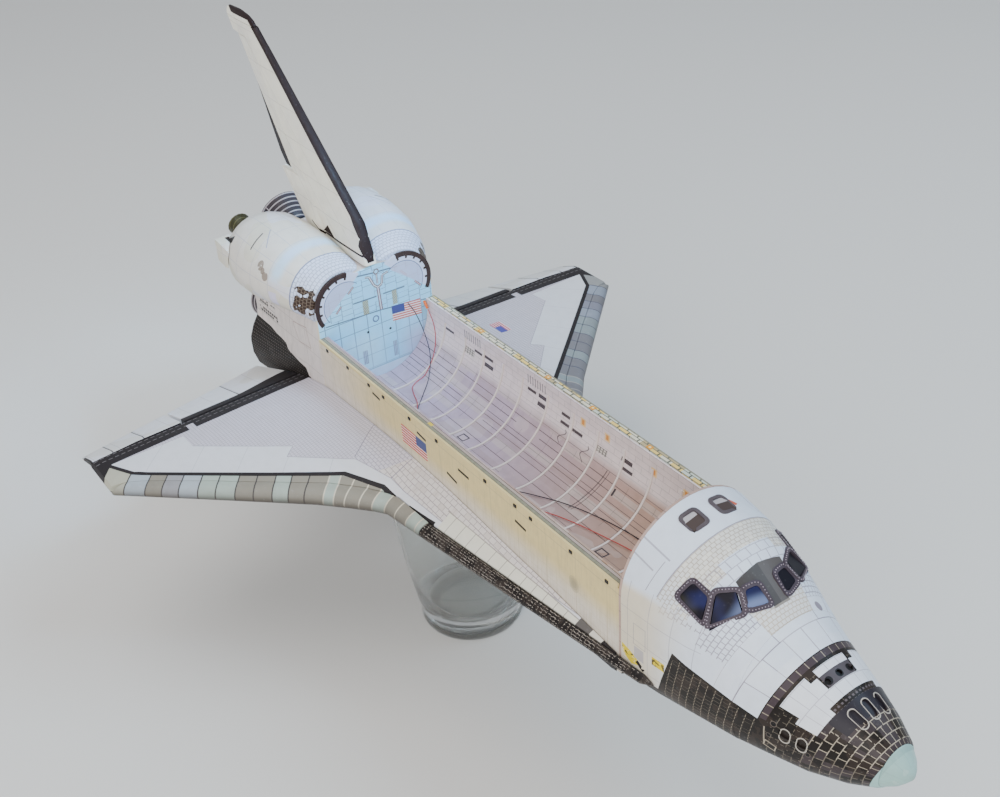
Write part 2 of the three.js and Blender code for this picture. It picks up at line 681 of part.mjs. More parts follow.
const BLACK_ROUTE = [
  [-84.7, 14.2, 39], [-82, 15.6, 35], [-78, 16.6, 27], [-74, 15.8, 21.2], [-71.2, 14.2, 18.4],
  [-65, 9, 14.6], [-58.5, 2, 13], [-53, -3.4, 13.2], [-49, -6.6, 13.6], [-44, -9, 13.8],
  [-36, -10.6, 14.2], [-22, -11.4, 14.6], [-10, -10.9, 14.4], [-2, -9.6, 14.2], [4, -8, 13.9],
  [12, -6.6, 12.7], [20, -1.2, 11.7], [28, 2.9, 11.8], [38, 6, 12.4], [50, 8.4, 13.2],
  [64, 10, 13.9], [80, 10.8, 14.4], [96.6, 11, 14.7],
];
const SLEEVE_ROUTE = [[-84.7, 21.8, 37], [-83.6, 21.8, 35.7], [-82.5, 21.8, 34.4]];
const RED_ROUTE = [
  [-82.2, 21.9, 34.05], [-78.5, 21.6, 29], [-75.3, 20, 24], [-72.4, 16.6, 19],
  [-70.4, 12.9, 15.8], [-69, 9.2, 13.5], [-69.2, 6, 12.3], [-67.6, 2.6, 11.7],
  [-63, 0.4, 11.5], [-58, -1.4, 11.6], [-50, -5.8, 12.3], [-40, -8.4, 13.2], [-26, -9, 13.4],
  [-10, -8.6, 13.2], [6, -8.5, 13.2], [18, -8.2, 13.1], [27, -6, 12.35], [34, -2.2, 11.7],
  [42, 0.6, 11.6], [52, 3, 11.8], [66, 5.6, 12.3], [82, 6.8, 12.7], [96.6, 7.2, 12.9],
];

/** A round wire along a route. */
function wire(route, diameter, steps) {
  const curve = new THREE.CatmullRomCurve3(
    route.map(([x, y, z]) => new THREE.Vector3(x, y, BELLY + z)));
  const section = new THREE.Shape();
  for (let i = 0; i < 8; i += 1) {
    const a = (i / 8) * 2 * Math.PI;
    const point = [(diameter / 2) * Math.cos(a), (diameter / 2) * Math.sin(a)];
    if (i === 0) section.moveTo(...point);
    else section.lineTo(...point);
  }
  return new THREE.ExtrudeGeometry(section, { steps, extrudePath: curve, bevelEnabled: false });
}

function buildWires() {
  addPart('wire_black', wire(BLACK_ROUTE, WIRE, 78), 'blackWire');
  addPart('wire_red', wire(RED_ROUTE, WIRE, 78), 'redWire');
  addPart('wire_sleeve', wire(SLEEVE_ROUTE, SLEEVE, 3), 'orangeSleeve');
}

// The glass that the model stands on

function buildGlass() {
  const height = GLASS_HEIGHT - GAP;
  const outer = [[0, 0], [19.2, 0], [21, 0.9], [21.4, 2.4], [21.2, 5], [22.6, 12], [26.2, 34],
    [29, 58], [30.8, height]];
  const inner = [[29.4, height], [27.6, 58], [24.8, 34], [21.2, 14], [18, 10.4], [10, 9.2],
    [0, 9]];
  const profile = [...outer, ...inner].map(([r, z]) => new THREE.Vector2(r, z));
  const glass = new THREE.LatheGeometry(profile, 40).rotateX(Math.PI / 2)
    .translate(along(1094), 0, 0);
  addPart('glass_stand', glass, 'glass');
}

buildNose();
buildCabin();
buildBay();
buildAftBody();
buildWings();
buildElevons();
buildFin();
buildPods();
buildWires();
buildGlass();

export default model;
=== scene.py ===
"""A card model of a winged orbiter with an open payload bay, standing on a drinking glass.

The model is one hundredth of full size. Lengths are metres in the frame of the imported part:
+X to the nose, +Y to port, +Z up, with the table at zero. The painted patterns are worked out in
millimetres, with heights counted from the model's belly.
"""

from __future__ import annotations

import logging
import math
from dataclasses import dataclass
from enum import Enum
from functools import reduce
from operator import and_, or_
from typing import Iterable, Sequence, TypeVar

import bmesh
import bpy
from mathutils import Matrix, Vector
from mathutils.bvhtree import BVHTree
from mathutils.geometry import normal


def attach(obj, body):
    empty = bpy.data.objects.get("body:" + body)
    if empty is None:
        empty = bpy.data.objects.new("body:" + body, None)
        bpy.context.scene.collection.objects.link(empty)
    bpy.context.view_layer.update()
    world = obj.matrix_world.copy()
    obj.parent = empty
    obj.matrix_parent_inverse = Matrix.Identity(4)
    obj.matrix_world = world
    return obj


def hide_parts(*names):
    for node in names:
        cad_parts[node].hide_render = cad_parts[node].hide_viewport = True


LOG = logging.getLogger("orbiter")

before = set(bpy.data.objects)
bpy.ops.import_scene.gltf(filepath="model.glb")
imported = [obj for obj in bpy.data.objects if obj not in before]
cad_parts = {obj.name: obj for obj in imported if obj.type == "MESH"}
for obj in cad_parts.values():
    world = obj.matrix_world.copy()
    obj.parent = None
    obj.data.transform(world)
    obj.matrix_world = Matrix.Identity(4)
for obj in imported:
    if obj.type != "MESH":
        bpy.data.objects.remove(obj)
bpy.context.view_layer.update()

BODY = "root"
MM = 0.001

# In millimetres: the belly above the table, the bay's axis above the belly, and the middle of an
# aft lobe, out from the craft's middle and above the belly.
BELLY = 80.0
BAY_AXIS = 33.78
LOBE = (13.3, 48.6)

Colour = tuple[float, float, float, float]
Number = "Value | float"
Pair = tuple[float, float]
Place = tuple[float, float, float]
Item = TypeVar("Item")


def hue(code: str) -> Colour:
    """Turns a screen colour such as "#d9dce4" into linear light.

    Args:
        code: six hexadecimal digits after a hash sign.

    Returns:
        Red, green, blue and an alpha of one.
    """
    parts = [int(code[i:i + 2], 16) / 255 for i in (1, 3, 5)]
    light = [p / 12.92 if p <= 0.04045 else ((p + 0.055) / 1.055) ** 2.4 for p in parts]
    return (*light, 1.0)


def in_frame(place: Place) -> Vector:
    """A place given in millimetres above the belly, in metres of the part's frame."""
    return Vector((place[0], place[1], place[2] + BELLY)) * MM


def new_material(name: str) -> tuple[bpy.types.Material, bpy.types.Node]:
    """A new material and the shader in it."""
    material = bpy.data.materials.new(name)
    material.use_nodes = True
    return material, next(n for n in material.node_tree.nodes if n.type == "BSDF_PRINCIPLED")


def new_object(name: str, data: bpy.types.ID) -> bpy.types.Object:
    """A new object in the scene."""
    made = bpy.data.objects.new(name, data)
    bpy.context.scene.collection.objects.link(made)
    return made


def stored(name: str, mesh: bmesh.types.BMesh) -> bpy.types.Mesh:
    """A mesh as Blender's own mesh data. The working mesh is freed."""
    data = bpy.data.meshes.new(name)
    mesh.to_mesh(data)
    mesh.free()
    return data


def aimed(place: Sequence[float], direction: Vector, axis: str) -> Matrix:
    """Stands something at a place, in metres, with one of its axes along a direction."""
    return Matrix.Translation(place) @ direction.to_track_quat(axis, "Y").to_matrix().to_4x4()


def closed(items: Sequence[Item]) -> Iterable[tuple[Item, Item]]:
    """Each item with the next one, and the last with the first."""
    return zip(items, [*items[1:], items[0]])


class Slot(Enum):
    """The record's material slots."""

    WHITE = "white_card"
    CREAM = "cream_card"
    LAVENDER = "lavender_card"
    LINING = "lining_card"
    BLUE = "blue_card"
    BLACK = "black_card"
    DARK = "dark_card"
    CAP = "cap_card"
    EDGE = "edge_card"
    SILL = "sill_card"
    PANE = "pane_card"
    BRONZE = "bronze_card"
    BELL = "bell_card"
    RED_WIRE = "wire_red"
    BLACK_WIRE = "wire_black"
    SLEEVE = "sleeve_orange"
    GLASS = "clear_glass"


class Side(Enum):
    """The craft's two sides, each with the sign of its Y."""

    LEFT = 1
    RIGHT = -1

    @property
    def hand(self) -> str:
        """The side's word in the names of the solids."""
        return self.name.lower()


# Shader maths


class Value:
    """A number that varies over a surface: a shader node's output, with Python's operators."""

    def __init__(self, ink: "Ink", socket: bpy.types.NodeSocket) -> None:
        """Wraps a socket of the ink's node tree."""
        self.ink = ink
        self.socket = socket

    def __add__(self, other: Number) -> "Value":
        """The sum."""
        return self.ink.maths("ADD", self, other)

    __radd__ = __add__

    def __sub__(self, other: Number) -> "Value":
        """The difference."""
        return self.ink.maths("SUBTRACT", self, other)

    def __rsub__(self, other: Number) -> "Value":
        """The difference, the other way round."""
        return self.ink.maths("SUBTRACT", other, self)

    def __mul__(self, other: Number) -> "Value":
        """The product."""
        return self.ink.maths("MULTIPLY", self, other)

    __rmul__ = __mul__

    def __lt__(self, other: Number) -> "Value":
        """One where this value is the smaller."""
        return self.ink.maths("LESS_THAN", self, other)

    def __gt__(self, other: Number) -> "Value":
        """One where this value is the greater."""
        return self.ink.maths("GREATER_THAN", self, other)

    def __and__(self, other: Number) -> "Value":
        """Both masks."""
        return self.ink.maths("MINIMUM", self, other)

    def __or__(self, other: Number) -> "Value":
        """Either mask."""
        return self.ink.maths("MAXIMUM", self, other)

    def __invert__(self) -> "Value":
        """The mask turned round."""
        return 1 - self

    def __abs__(self) -> "Value":
        """The size without its sign."""
        return self.ink.maths("ABSOLUTE", self)

    def within(self, low: float, high: float) -> "Value":
        """One between two numbers."""
        return self.ink.maths("COMPARE", self, (low + high) / 2, (high - low) / 2)

    def among(self, spans: Iterable[Pair]) -> "Value":
        """One between the numbers of any of some pairs."""
        return reduce(or_, [self.within(low, high) for low, high in spans])

    def lines(self, pitch: float, width: float, start: float = 0.0) -> "Value":
        """One on thin lines at an even pitch.

        Args:
            pitch: distance from one line to the next.
            width: width of a line.
            start: place of one of the lines.

        Returns:
            The mask of the lines.
        """
        return self.ink.maths("PINGPONG", self - start, pitch / 2) < width / 2

    def cell(self, pitch: float) -> "Value":
        """The number of the cell that a place lies in."""
        return self.ink.maths("FLOOR", self * (1 / pitch))

    def ramp(self, low: float, high: float) -> "Value":
        """Rises evenly from zero to one between two numbers."""
        inputs = {0: self, 1: low, 2: high}
        return self.ink.read("ShaderNodeMapRange", inputs, interpolation_type="SMOOTHSTEP")


class Ink:
    """One printed finish: masks of colour laid over each other on an even card."""

    def __init__(self, name: str, colour: str, roughness: float = 0.5) -> None:
        """Starts a finish of an even colour.

        Args:
            name: the material's name.
            colour: the card's own screen colour.
            roughness: how dull the printed card is.
        """
        self.material, self.shader = new_material(name)
        self.tree = self.material.node_tree
        self.colour: Colour | bpy.types.NodeSocket = hue(colour)
        self.roughness = roughness
        self.shader.inputs["Specular IOR Level"].default_value = 0.22
        self.place = self.node("ShaderNodeTexCoord").outputs["Object"]
        split = self.node("ShaderNodeSeparateXYZ", {0: self.place})
        self.x, self.y, height = (Value(self, socket) * (1 / MM) for socket in split.outputs)
        self.z = height - BELLY
        self.side = abs(self.y)

    def node(self, kind: str, inputs: dict | None = None, **settings: object) -> bpy.types.Node:
        """Adds a node of any kind.

        Args:
            kind: the node's type.
            inputs: numbers, colours, sockets or values for its inputs.
            settings: its properties, set first.

        Returns:
            The new node.
        """
        made = self.tree.nodes.new(kind)
        for key, value in settings.items():
            setattr(made, key, value)
        for key, value in (inputs or {}).items():
            if isinstance(value, Value):
                value = value.socket
            if isinstance(value, bpy.types.NodeSocket):
                self.tree.links.new(value, made.inputs[key])
            else:
                made.inputs[key].default_value = value
        return made

    def read(self, kind: str, inputs: dict, **settings: object) -> Value:
        """Adds a node and takes its first output as a value."""
        return Value(self, self.node(kind, inputs, **settings).outputs[0])

    def maths(self, operation: str, *values: Number) -> Value:
        """Adds a Math node."""
        return self.read("ShaderNodeMath", dict(enumerate(values)), operation=operation)

    def lay(self, colour: str, mask: Number, share: float = 1.0) -> None:
        """Prints a colour over what is there, where the mask is one.

        Args:
            colour: the screen colour.
            mask: where it is printed.
            share: how much of what is there it covers.
        """
        if share < 1:
            mask = mask * share
        inputs = {0: mask, 6: self.colour, 7: hue(colour)}
        self.colour = self.node("ShaderNodeMix", inputs, data_type="RGBA").outputs[2]

    def noise(self, scale: float, detail: float = 2.0, stretch: Sequence[float] = (1, 1, 1)) -> Value:
        """Cloudy noise around one half, with a scale per metre.

        Args:
            scale: how many blotches fit in a metre.
            detail: how many finer layers it has.
            stretch: factors for the scale along X, Y and Z.

        Returns:
            The noise as a value.
        """
        place = self.node("ShaderNodeMapping", {0: self.place, 3: tuple(stretch)}).outputs[0]
        return self.read("ShaderNodeTexNoise", {"Vector": place, "Scale": scale, "Detail": detail})

    def chance(self, *cells: Value) -> Value:
        """A seeded number between zero and one for each cell."""
        place = self.node("ShaderNodeCombineXYZ", dict(enumerate(cells))).outputs[0]
        return self.read("ShaderNodeTexWhiteNoise", {"Vector": place}, noise_dimensions="3D")

    def turn(self, across: Value, height: Value) -> Value:
        """The angle in degrees from straight up (or down) towards a side."""
        return self.maths("ARCTAN2", across, height) * (180 / math.pi)

    def upward(self) -> Value:
        """How far the surface faces up, from minus one to one."""
        facing = self.node("ShaderNodeNewGeometry").outputs["Normal"]
        return Value(self, self.node("ShaderNodeSeparateXYZ", {0: facing}).outputs[2])

    def wing_tip(self) -> Value:
        """One on the wings' black tips, behind a slanting line."""
        return self.side > 113.9 + (self.x + 98.2) * 0.95

    def disc(self, u: Value, v: Value, centre: Pair, radius: float) -> Value:
        """A round spot."""
        du, dv = u - centre[0], v - centre[1]
        return (du * du + dv * dv) < radius * radius

    def hoop(self, u: Value, v: Value, centre: Pair, outer: float, inner: float) -> Value:
        """A round line between two radii."""
        return self.disc(u, v, centre, outer) & ~self.disc(u, v, centre, inner)

    def box(self, u: Value, v: Value, us: Pair, vs: Pair) -> Value:
        """A rectangle between two places each way."""
        return u.within(*us) & v.within(*vs)

    def boxes(self, u: Value, v: Value, places: Iterable[tuple[Pair, Pair]]) -> Value:
        """Several rectangles."""
        return reduce(or_, [self.box(u, v, us, vs) for us, vs in places])

    def outline(self, u: Value, v: Value, us: Pair, vs: Pair, width: Pair) -> Value:
        """A rectangle's outline, its line lying inside, with a width each way."""
        inner = self.box(u, v, (us[0] + width[0], us[1] - width[0]), (vs[0] + width[1], vs[1] - width[1]))
        return self.box(u, v, us, vs) & ~inner

    def bar(self, u: Value, v: Value, start: Pair, end: Pair, width: float) -> Value:
        """A straight stroke from one place to another."""
        length = math.dist(start, end)
        du, dv = (end[0] - start[0]) / length, (end[1] - start[1]) / length
        along = (u - start[0]) * du + (v - start[1]) * dv
        across = (v - start[1]) * du - (u - start[0]) * dv
        return along.within(0, length) & across.within(-width / 2, width / 2)

    def bars(self, u: Value, v: Value, strokes: Iterable[tuple[Pair, Pair]], width: float) -> Value:
        """Several straight strokes of one width."""
        return reduce(or_, [self.bar(u, v, start, end, width) for start, end in strokes])

    def past(self, u: Value, v: Value, line: Sequence[Pair]) -> Value:
        """One where v is greater than on a broken line of (u, v) places, along its length."""
        parts = []
        for (u0, v0), (u1, v1) in zip(line, line[1:]):
            parts.append(u.within(u0, u1) & (v > (u - u0) * ((v1 - v0) / (u1 - u0)) + v0))
        return reduce(or_, parts)

    def bricks(self, u: Value, v: Value, pitch: Pair, width: Pair) -> Value:
        """The joints of a brick pattern.

        Args:
            u: place along a row.
            v: place across the rows.
            pitch: a brick's length and height.
            width: widths of the joints across and along a row.

        Returns:
            The mask of the joints.
        """
        shifted = u + v.cell(pitch[1]) * (pitch[0] / 2)
        return shifted.lines(pitch[0], width[0]) | v.lines(pitch[1], width[1])

    def shape(self, u: Value, v: Value, corners: Sequence[Pair]) -> Value:
        """A convex outline whose corners run anticlockwise in (u, v)."""
        edges = []
        for (u0, v0), (u1, v1) in closed(corners):
            edges.append(((v - v0) * (u1 - u0) - (u - u0) * (v1 - v0)) > 0)
        return reduce(and_, edges)

    def print(self, grain: float = 0.10, warp: float = 0.5) -> bpy.types.Material:
        """Finishes the card: a mottled print, an uneven gloss and a faintly wavy surface.

        Args:
            grain: how much the print's brightness wanders.
            warp: strength of the card's slow waves.

        Returns:
            The finished material.
        """
        mottle = self.noise(260, 4).ramp(0.35, 0.75) * grain
        self.lay("#57504a", mottle)
        self.lay("#ffffff", self.noise(900, 2).ramp(0.62, 0.8) * (grain * 0.6))
        links = self.tree.links
        links.new(self.colour, self.shader.inputs["Base Color"])
        rough = self.noise(120, 3) * 0.16 + (self.roughness - 0.08)
        links.new(rough.socket, self.shader.inputs["Roughness"])
        waves = self.noise(42, 1) * 0.8 + self.noise(2600, 2) * 0.05
        bump = self.node("ShaderNodeBump", {"Height": waves, "Strength": warp, "Distance": 0.0006})
        links.new(bump.outputs[0], self.shader.inputs["Normal"])
        return self.material


@dataclass(frozen=True)
class Flag:
    """A plain striped flag with a bare blue corner.

    Attributes:
        across: where it starts and ends along its stripes.
        up: where it starts and ends across its stripes.
        corner_across: where the corner starts and ends along the stripes.
        corner_up: where the corner starts and ends across the stripes.
        stripes: the red stripes' pitch, their width and the place of one of them.
        white: the card's tone.
        red: the stripes' tone.
        blue: the corner's tone.
    """

    across: Pair
    up: Pair
    corner_across: Pair
    corner_up: Pair
    stripes: tuple[float, float, float]
    white: str
    red: str
    blue: str

    def draw(self, ink: Ink, u: Value, v: Value, where: Number = 1.0) -> None:
        """Prints the flag.

        Args:
            ink: the print that it is drawn in.
            u: place along the stripes.
            v: place across the stripes.
            where: the part of the print that can show it.
        """
        spot = ink.box(u, v, self.across, self.up) & where
        ink.lay(self.white, spot)
        ink.lay(self.red, spot & v.lines(*self.stripes))
        ink.lay(self.blue, ink.box(u, v, self.corner_across, self.corner_up) & where)


# Geometry


def new_piece(name: str, mesh: bmesh.types.BMesh, material: bpy.types.Material, slot: Slot,
              nodes: Iterable[str] = ()) -> bpy.types.Object:
    """Makes an object of a mesh and lets it ride on the model.

    Args:
        name: the piece's name.
        mesh: its shape, in metres in the part's frame.
        material: its finish.
        slot: the record's slot for that finish. Not used.
        nodes: the solids that it stands for.

    Returns:
        The new object.
    """
    data = stored(name, mesh)
    data.materials.append(material)
    piece = new_object(name, data)
    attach(piece, BODY)
    if nodes:
        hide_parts(*nodes)
    LOG.info("%s: %d faces", name, len(data.polygons))
    return piece


def crease(mesh: bmesh.types.BMesh, degrees: float) -> None:
    """Shades a mesh smooth, with sharp edges where it bends more than an angle."""
    for face in mesh.faces:
        face.smooth = True
    for edge in mesh.edges:
        if len(edge.link_faces) == 2:
            edge.smooth = edge.calc_face_angle(0) < math.radians(degrees)


def merged(node: str) -> bmesh.types.BMesh:
    """A copy of a solid of the frame, with its shared corners merged."""
    mesh = bmesh.new()
    mesh.from_mesh(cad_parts[node].data)
    bmesh.ops.remove_doubles(mesh, verts=mesh.verts, dist=1e-6)
    return mesh


def card(node: str, material: bpy.types.Material, slot: Slot, degrees: float = 32,
         joints: Sequence[Pair] = ()) -> bpy.types.Object:
    """Stands a smooth card piece in a solid's place.

    Args:
        node: the solid.
        material: the card's finish.
        slot: the record's slot.
        degrees: bends sharper than this stay sharp.
        joints: places along the craft (mm) of an end that is drawn up to its neighbour, each with
            the place that it is drawn to.

    Returns:
        The new object.
    """
    mesh = merged(node)
    for old, new in joints:
        for vertex in mesh.verts:
            if abs(vertex.co.x - old * MM) < 0.08 * MM:
                vertex.co.x = new * MM
    crease(mesh, degrees)
    return new_piece(f"{node}_card", mesh, material, slot, [node])


def block(low: Place, high: Place, fold: float = 0.12) -> bmesh.types.BMesh:
    """A box between two corners in millimetres above the belly, with rounded edges."""
    mesh = bmesh.new()
    start, end = in_frame(low), in_frame(high)
    bmesh.ops.create_cube(mesh, size=1)
    bmesh.ops.scale(mesh, vec=end - start, verts=mesh.verts)
    bmesh.ops.translate(mesh, vec=(start + end) / 2, verts=mesh.verts)
    bmesh.ops.bevel(mesh, geom=mesh.edges[:], offset=fold * MM, affect="EDGES", segments=2,
                    profile=0.5, material=-1, clamp_overlap=True)
    return mesh


def join(meshes: Sequence[bmesh.types.BMesh]) -> bmesh.types.BMesh:
    """Puts several meshes in one."""
    whole = bmesh.new()
    for part in meshes:
        data = stored("part", part)
        whole.from_mesh(data)
        bpy.data.meshes.remove(data)
    return whole


def turned(profile: Sequence[Pair], steps: int, place: Matrix) -> bmesh.types.BMesh:
    """Spins a closed profile of radius and height (mm) around its axis.

    Args:
        profile: places as radius and distance along the axis.
        steps: how many steps go round.
        place: turns the axis from +Z to where it belongs, in metres.

    Returns:
        The closed mesh.
    """
    mesh = bmesh.new()
    for ends in closed([mesh.verts.new((r * MM, 0, h * MM)) for r, h in profile]):
        mesh.edges.new(ends)
    bmesh.ops.spin(mesh, geom=mesh.verts[:] + mesh.edges[:], cent=(0, 0, 0), axis=(0, 0, 1),
                   angle=2 * math.pi, steps=steps, use_merge=True, use_duplicate=False)
    bmesh.ops.remove_doubles(mesh, verts=mesh.verts, dist=1e-7)
    bmesh.ops.recalc_face_normals(mesh, faces=mesh.faces)
    bmesh.ops.transform(mesh, matrix=place, verts=mesh.verts)
    return mesh


class Skin:
    """A surface that thin printed or glued strips are laid on."""

    def __init__(self, *nodes: str) -> None:
        """Reads the surface of some solids."""
        mesh = join([merged(node) for node in nodes])
        self.tree = BVHTree.FromBMesh(mesh)
        mesh.free()

    def nearest(self, point: Vector, lift: float) -> Vector:
        """The nearest place on the surface, lifted off it."""
        place, facing, _, _ = self.tree.find_nearest(point)
        return place + facing * lift

    def along(self, point: Vector, direction: Vector, lift: float) -> Vector:
        """Where a straight line from outside meets the surface, lifted off it."""
        start = point - direction * 40 * MM
        place = self.tree.ray_cast(start, direction)[0]
        return (place if place else point) - direction * lift


def laid(skin: Skin, outline: Sequence[Vector], reach: float, grow: float, lift: float,
         least: float = 0.15) -> list[Vector]:
    """Lays a line round a flat outline onto a surface.

    Args:
        skin: the surface.
        outline: the flat outline, in metres.
        reach: how far outside the outline the surface is looked for (mm).
        grow: how far outside it the line runs (mm).
        lift: how far it stands off the surface (mm).
        least: the least distance outside it where the surface is looked for (mm).

    Returns:
        The places along the line, in metres.
    """
    centre = sum(outline, Vector()) / len(outline)
    outward = normal(outline)
    inside = in_frame((centre.x / MM - 10, 0, 20))
    if outward.dot(centre - inside) < 0:
        outward = -outward
    places = []
    for place in outline:
        away = (place - centre).normalized()
        options = []
        for trial in {reach, least, max(grow, least)}:
            found = skin.along(place + away * trial * MM, -outward, lift * MM)
            options.append(found + away * (grow - trial) * MM)
        places.append(max(options, key=outward.dot))
    return places


def ring_on(skin: Skin, outline: Sequence[Vector], widths: Pair, height: float) -> bmesh.types.BMesh:
    """A thin closed strip around an outline, laid on a surface.

    Args:
        skin: the surface.
        outline: the line that the strip follows, in metres.
        widths: how far it reaches inwards and outwards from that line (mm).
        height: how far it stands off the surface (mm).

    Returns:
        The strip's mesh.
    """
    mesh = bmesh.new()
    loops = []
    for grow, lift in ((-widths[0], height), (widths[1], height), (widths[1], -0.2), (-widths[0], -0.2)):
        places = laid(skin, outline, widths[1], grow, lift)
        loops.append([mesh.verts.new(place) for place in places])
    for low, high in closed(loops):
        for k, vertex in enumerate(low):
            mesh.faces.new((low[k - 1], vertex, high[k], high[k - 1]))
    bmesh.ops.recalc_face_normals(mesh, faces=mesh.faces)
    return mesh


def beads_on(skin: Skin, outline: Sequence[Vector], grow: float, pitch: float,
             radius: float) -> bmesh.types.BMesh:
    """Small round dots at an even pitch along an outline on a surface.

    Args:
        skin: the surface.
        outline: the line that they follow, in metres.
        grow: how far outside that line they lie (mm).
        pitch: distance from one to the next (mm).
        radius: their size (mm).

    Returns:
        The dots in one mesh.
    """
    mesh = bmesh.new()
    line = laid(skin, outline, 1.2, grow, 0.36)
    travelled = 0.0
    for a, b in closed(line):
        length = (b - a).length
        while travelled < length:
            place = a.lerp(b, travelled / length)
            bmesh.ops.create_icosphere(mesh, subdivisions=1, radius=radius * MM,
                                       matrix=Matrix.Translation(place))
            travelled += pitch * MM
        travelled -= length
    return mesh


def rounded(corners: Sequence[Vector], radius: float, steps: int = 4) -> list[Vector]:
    """An outline with its corners rounded.

    Args:
        corners: the sharp corners in order.
        radius: how far from a corner the round starts, in metres.
        steps: how many short edges make a round.

    Returns:
        The places along the rounded outline.
    """
    places = []
    for i, corner in enumerate(corners):
        before = (corners[i - 1] - corner).normalized() * radius
        after = (corners[(i + 1) % len(corners)] - corner).normalized() * radius
        for k in range(steps + 1):
            t = k / steps
            places.append(corner + before * (1 - t) ** 2 + after * t ** 2)
    return places


# Finishes


@dataclass(frozen=True)
class ForwardPrint:
    """The print on the nose and the cabin: black tiles, white panels and thin grey lines."""

    white: str = "#dfe8f6"
    side: str = "#dccfb4"
    black: str = "#17110e"
    dark: str = "#26222a"
    joint: str = "#a39887"
    line: str = "#857b8c"
    tan: str = "#b7a68c"
    grey: str = "#565150"

    def make(self) -> bpy.types.Material:
        """Prints the card."""
        ink = Ink("forward_print", self.white, 0.42)
        self.panels(ink)
        self.small_tiles(ink)
        self.lower_side(ink)
        self.black_tiles(ink)
        self.nose_tiles(ink)
        self.nose_panels(ink)
        self.marks(ink)
        ink.lay("#a0c6c2", ink.x > 175.1 + ink.z * 0.262)
        return ink.print(0.06)

    def rings(self, ink: Ink) -> tuple[Value, Value]:
        """Distance along the nose in rings that lean back, and the angle from the top."""
        return ink.x - ink.z * 0.2, ink.turn(ink.side, ink.z - 18)

    def panels(self, ink: Ink) -> None:
        """Draws the wide white panels between the cabin and the nose."""
        s, a = self.rings(ink)
        front = s.within(128.9, 143.6)
        joints = s.among([(128.7, 129), (135.4, 135.7)])
        rays = a.among([(-0.5, 0.5), (17.3, 18), (37.7, 38.3), (59.7, 60.3)]) & (s > 135.5)
        inner_rays = a.among([(20.2, 20.8), (40.2, 40.8)]) & (s < 135.5)
        ink.lay(self.line, front & (joints | rays | inner_rays), 0.95)
        ink.lay("#eef3fb", (ink.chance(s.cell(7.4), a.cell(19.6)) * 0.5) * (s > 128))
        strokes = (((97.6, 35), (106, 36.5)), ((97.6, 27.3), (109, 28.5)), ((97.6, 60), (110.4, 61.5)))
        ink.lay(self.line, ink.bars(ink.x, a, strokes, 0.8) & (ink.z > 38), 0.6)
        ring = s.within(102, 102.35) | (s.within(97.8, 98.05) & (a > 30))
        ink.lay(self.line, ring & (ink.z > 41), 0.8)

    def small_tiles(self, ink: Ink) -> None:
        """Draws the fields of small tiles round the windows."""
        s, a = self.rings(ink)
        arc = s.within(102.35, 109.7) & (a < 47)
        arc = arc | (s.within(109.7, 113.5) & a.within(16, 47))
        fine = ink.bricks(a, s, (2.7, 1.25), (0.42, 0.22))
        ink.lay("#e2dccf", arc * (a.ramp(48, 20) * 0.55 + 0.2))
        ink.lay("#a3937f", arc & fine, 0.75)
        pale = ink.chance(s.cell(1.25), a.cell(2.7)) > 0.8
        ink.lay("#f0ece0", arc & pale, 0.5)
        wide = s.within(109.7, 121) & (a < 45)
        coarse = ink.bricks(a, s, (6.2, 2.9), (0.55, 0.26))
        ink.lay(self.line, wide & coarse, 0.6)
        cheek = s.within(119, 129) & a.within(21, 56)
        ink.lay(self.line, cheek & ink.bricks(a, s, (3.9, 1.75), (0.55, 0.3)), 0.75)
        eye = s.within(104, 129) & a.within(47, 66) & (ink.z > 37)
        ink.lay(self.line, eye & ink.bricks(a, s, (3.2, 1.5), (0.5, 0.27)), 0.75)
        tan = s.within(124, 132.7) & (a < 21)
        ink.lay("#e1dbd0", tan, 0.55)
        ink.lay(self.tan, tan & ink.bricks(a, s, (3.6, 1.25), (0.55, 0.22)), 0.75)
        centre = (s > 115.4 + ink.side * 0.11) & (ink.side < 8.6) & (s < 119.5)
        spine = s.within(119.4, 127.6) & (ink.side < 2.9)
        fold = centre | spine
        ink.lay(self.grey, fold)
        # The starboard half of the grey fold is printed darker: painted shade on that facet.
        ink.lay("#454140", fold & (ink.y < 0))
        ink.lay("#8b857d", s.within(127.3, 127.9) & (ink.side < 3))

    def lower_side(self, ink: Ink) -> None:
        """Draws the cream side below the cabin: its panels, a hatch and plain yellow marks."""
        x, z = ink.x, ink.z
        ink.lay(self.side, (41.3 - z).ramp(0, 3.5) * (128 - x).ramp(0, 24), 0.9)
        joints = x.lines(8.4, 0.25) | z.lines(10.5, 0.25)
        ink.lay(self.line, (z < 41.3) & (x < 128) & (z > 0) & joints, 0.45)
        outer = ink.side > 20
        hatch = ink.outline(x, z, (103.2, 108.4), (19, 27.5), (0.28, 0.28))
        ink.lay(self.line, hatch & outer, 0.55)
        scatter = ink.noise(650, 2)
        yellow = ink.shape(x, z, ((98.6, 12.4), (102.3, 9.9), (105.2, 11.2), (104.6, 14.2),
                                  (101.2, 15.2), (98.2, 16.6)))
        yellow = (yellow | ink.box(x, z, (111.1, 116), (16.2, 19.4))) & outer
        ink.lay("#e0c721", yellow & (scatter > 0.36))
        ink.lay("#57481c", yellow & (scatter > 0.6))
        stroke = ink.bar(x, z, (104.6, 12.6), (107.6, 10.4), 1.7)
        ink.lay(self.black, stroke & outer & (scatter > 0.38))
        ink.lay("#b7b1b0", ink.box(x, z, (103.6, 107.6), (13.6, 18.4)) & outer)

